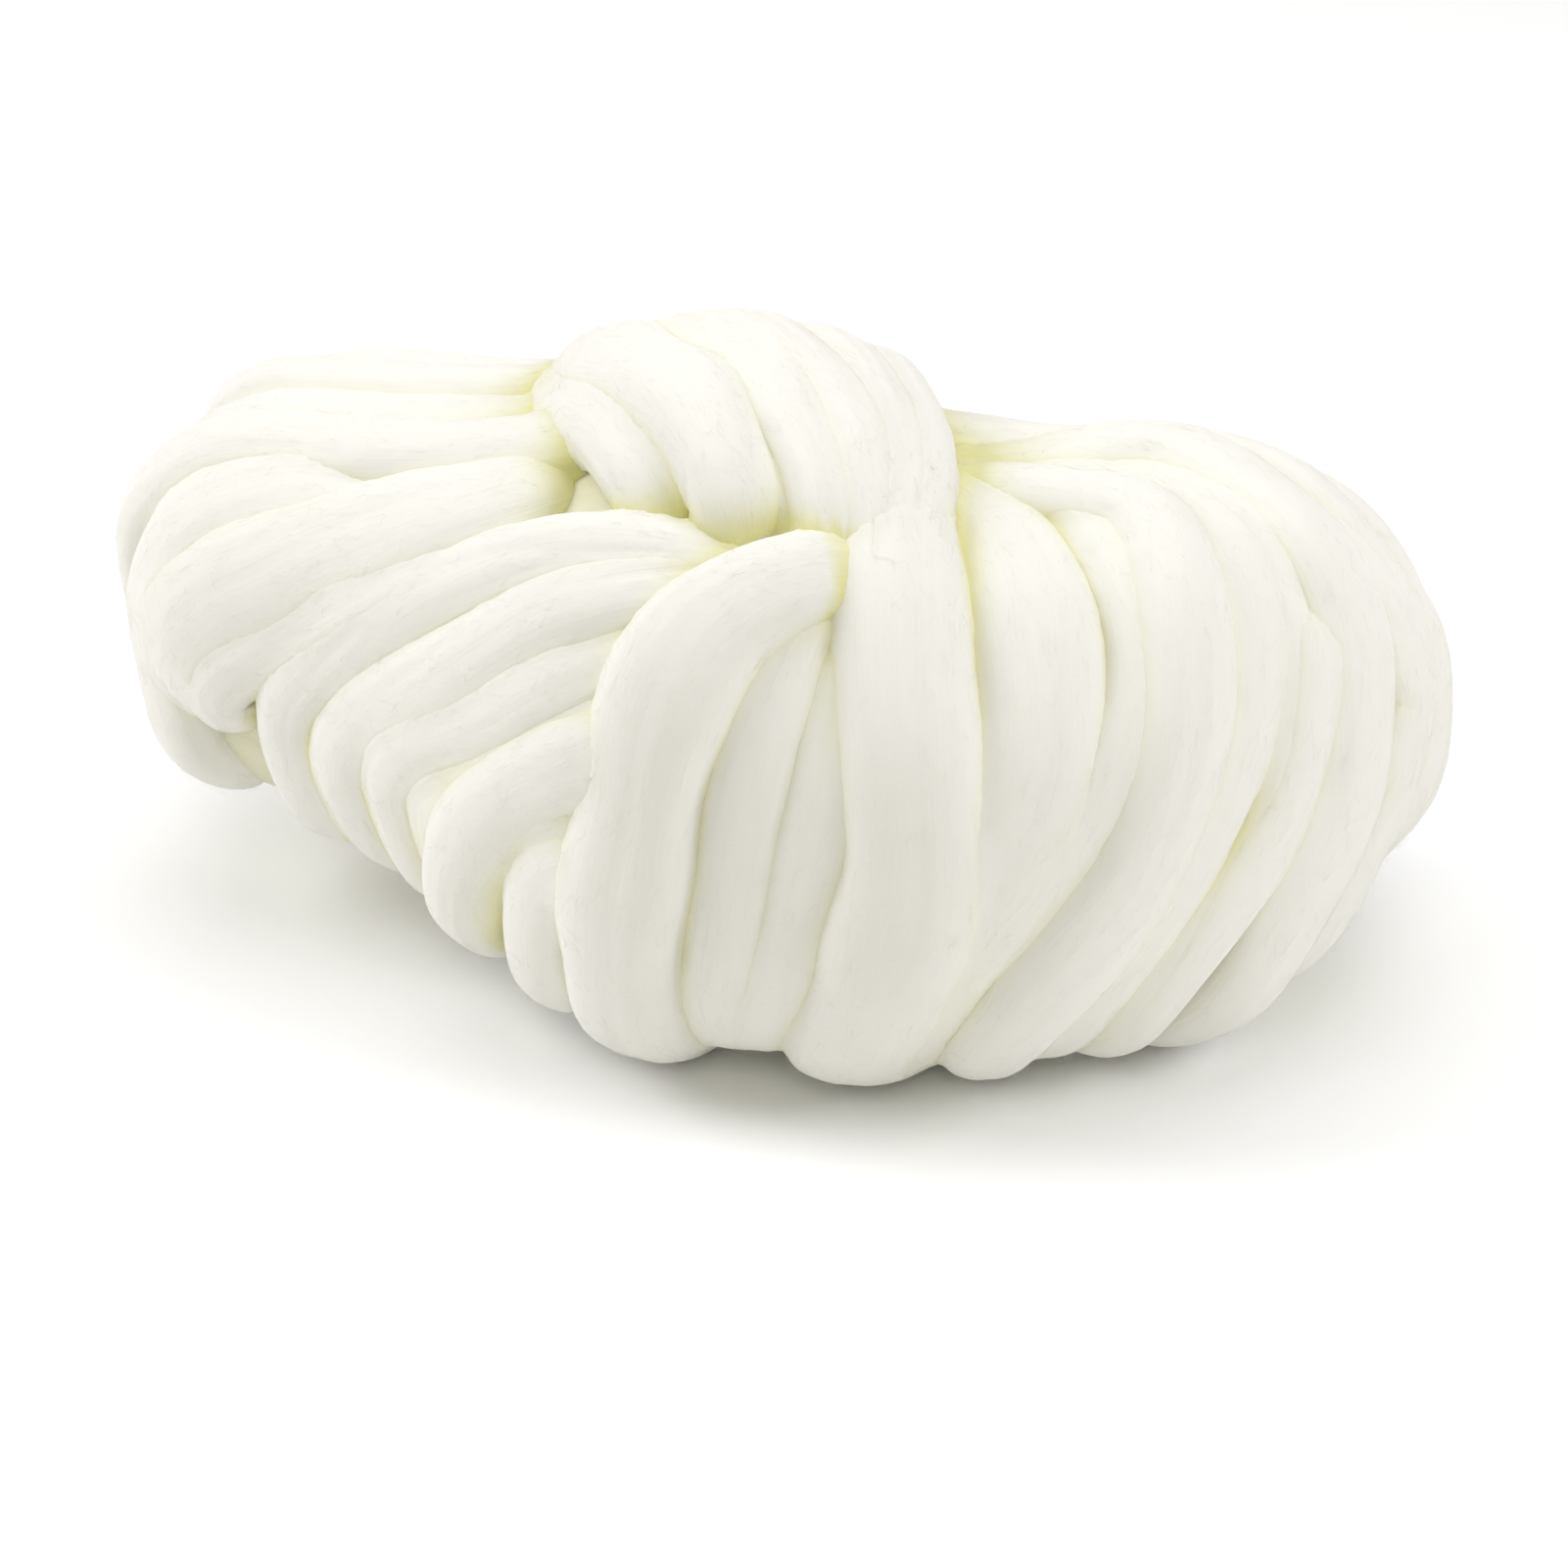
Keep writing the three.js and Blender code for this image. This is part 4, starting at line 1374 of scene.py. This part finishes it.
@dataclass
class Hank:
    """The whole hank: every part's turns, the winding under them and their loose fibres."""

    form: WoundForm = WoundForm()
    strand: Strand = Strand()
    fuzz: Fuzz = Fuzz()
    stray: StrayFibre = StrayFibre()
    inner: InnerWinding = InnerWinding()
    parts: tuple[Winding, ...] = (Lobe(), Crown(), Lap(), Fan(), Bundle(), Back())
    seed: int = 41

    def __post_init__(self) -> None:
        """Shape every turn and find where the drawing lies in the model's frame."""
        self.shapes: dict[Region, list[Swept]] = {}
        seed = self.seed
        for part in self.parts:
            shapes = []
            for turn in part.turns():
                seed += 1
                shapes.append(self.strand.sweep(self.form, turn, seed))
            self.shapes[part.region] = shapes
        every = [shape for shapes in self.shapes.values() for shape in shapes]
        self.place = Placement.matching(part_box(NODE), every, self.form)
        for shape in every:
            shape.press([other for other in every if other is not shape])

    def build(self) -> None:
        """Make every piece, dress it and put it in the frame."""
        fibre = CombedFibre()
        roving = WoolFinish("roving").build(fibre)
        inner = WoolFinish("inner_roving", streak=0.2, relief=0.0004).build(fibre)
        loose = WoolFinish("loose_fibre", streak=0.0, relief=0.0, sheen=0.0).build(fibre)
        for region, shapes in self.shapes.items():
            turns = Piece.joined([shape.piece(self.place) for shape in shapes])
            self.finish(turns, f"{region.value}_turns", roving)
            fibres = [self.fuzz.piece(shape, self.place, self.seed + i) for i, shape in enumerate(shapes)]
            fibres += [self.stray.piece(s, self.place) for s in shapes if s.turn.name == self.stray.turn]
            self.finish(Piece.joined(fibres), f"{region.value}_fuzz", loose)
        self.finish(self.inner.piece(self.form, self.place), "inner_winding", inner)

    @staticmethod
    def finish(piece: Piece, name: str, material: bpy.types.Material) -> None:
        """Make a piece's object and give it its place, slot and material.

        Args:
            piece: The piece.
            name: The object's name.
            material: Its material.
        """
        obj = piece.build(name)
        obj.data.materials.append(material)
        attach(obj, "root")
        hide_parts(NODE)
        triangles = sum(len(faces) * (faces.shape[1] - 2) for faces in piece.faces)
        LOG.info("%s: %d triangles", name, triangles)


@dataclass(frozen=True)
class SoftBox:
    """A large round lamp behind cloth, aimed at the middle of the hank. Metres, watts and linear colour."""

    name: str
    place: Triple
    size: float
    power: float
    colour: Triple
    aim: Triple = (0.0, 0.0, 0.06)

    def build(self) -> None:
        """Make the lamp."""
        data = bpy.data.lights.new(self.name, "AREA")
        data.shape = "DISK"
        data.size = self.size
        data.energy = self.power
        data.color = self.colour
        lamp = bpy.data.objects.new(self.name, data)
        lamp.location = self.place
        lamp.rotation_euler = (Vector(self.aim) - Vector(self.place)).to_track_quat("-Z", "Y").to_euler()
        bpy.context.scene.collection.objects.link(lamp)


@dataclass(frozen=True)
class Studio:
    """A white table under soft light, and the camera. Millimetres and degrees in the drawing's frame."""

    azimuth: float = 12.0
    elevation: float = 28.0
    distance: float = 800.0
    pixel: float = 0.21  # millimetres that a pixel of the image covers at that distance
    target: Triple = (0.0, -30.0, 60.0)
    sensor: float = 36.0
    nearest: float = 10.0  # what the camera can see starts this far from it
    floor_reach: float = 6.0  # metres
    surround: float = 0.2  # strength of the even light
    surround_colour: Triple = (1.0, 0.98, 0.84)
    lamps: tuple[SoftBox, ...] = (
        SoftBox("overhead", (0.0, 0.25, 1.5), 1.6, 12.4, (0.935, 0.94, 1.0)),
        SoftBox("left_side", (-1.4, -0.1, 1.0), 1.0, 17.8, (0.95, 0.95, 1.0)),
        SoftBox("right_side", (1.4, -0.1, 1.0), 1.0, 13.2, (0.95, 0.95, 1.0)),
        SoftBox("front", (0.2, -1.5, 1.2), 1.0, 7.3, (1.0, 1.0, 0.9)),
        SoftBox("behind", (0.0, 1.5, 1.0), 1.0, 2.6, (1.0, 1.0, 0.9)),
    )

    def build(self, place: Placement) -> None:
        """Make the floor, the light and the camera.

        Args:
            place: Where the drawing's frame lies in the model's frame.
        """
        self.build_floor()
        self.build_light()
        self.build_camera(place)
        bpy.context.scene.view_settings.view_transform = "Standard"

    def build_floor(self) -> None:
        """Make the white table."""
        mesh = bpy.data.meshes.new("table_top")
        reach = self.floor_reach
        corners = [(-reach, -reach, 0), (reach, -reach, 0), (reach, reach, 0), (-reach, reach, 0)]
        mesh.from_pydata(corners, [], [(0, 1, 2, 3)])
        floor = bpy.data.objects.new("table_top", mesh)
        bpy.context.scene.collection.objects.link(floor)
        mesh.materials.append(TableFinish().build())

    def build_light(self) -> None:
        """Make the even surrounding light, which looks white to the camera, and the lamps."""
        world = bpy.data.worlds.new("studio")
        world.use_nodes = True
        tree = world.node_tree
        glow = tree.nodes["Background"]
        fed(tree, glow, {"Color": (*self.surround_colour, 1.0), "Strength": self.surround})
        white = fed(tree, tree.nodes.new("ShaderNodeBackground"), {"Color": (1.0, 1.0, 1.0, 1.0)})
        ray = tree.nodes.new("ShaderNodeLightPath")
        seen = {0: ray.outputs["Is Camera Ray"], 1: glow.outputs[0], 2: white.outputs[0]}
        either = fed(tree, tree.nodes.new("ShaderNodeMixShader"), seen)
        fed(tree, tree.nodes["World Output"], {"Surface": either.outputs[0]})
        bpy.context.scene.world = world
        for lamp in self.lamps:
            lamp.build()

    def build_camera(self, place: Placement) -> None:
        """Make the camera at the photograph's angle.

        Args:
            place: Where the drawing's frame lies in the model's frame.
        """
        a, e = math.radians(self.azimuth), math.radians(self.elevation)
        back = (math.sin(a) * math.cos(e), -math.cos(a) * math.cos(e), math.sin(e))
        data = bpy.data.cameras.new("camera")
        data.sensor_width = self.sensor
        data.sensor_fit = "HORIZONTAL"
        data.lens = self.distance / self.pixel / IMAGE_PIXELS * self.sensor
        data.clip_start = self.nearest * MM
        camera = bpy.data.objects.new("camera", data)
        camera.location = place.metres(np.array(self.target) + self.distance * np.array(back))
        camera.rotation_euler = (math.pi / 2 - e, 0.0, a)
        bpy.context.scene.collection.objects.link(camera)
        bpy.context.scene.camera = camera


def main() -> None:
    """Build the hank and its studio, and note where the drawing's middle lies."""
    logging.basicConfig(level=logging.INFO, format="%(name)s %(message)s")
    hank = Hank()
    LOG.info("drawing's middle at x %.2f mm, y %.2f mm", hank.place.middle_x, hank.place.middle_y)
    hank.build()
    Studio().build(hank.place)


if __name__ == "__main__":
    main()
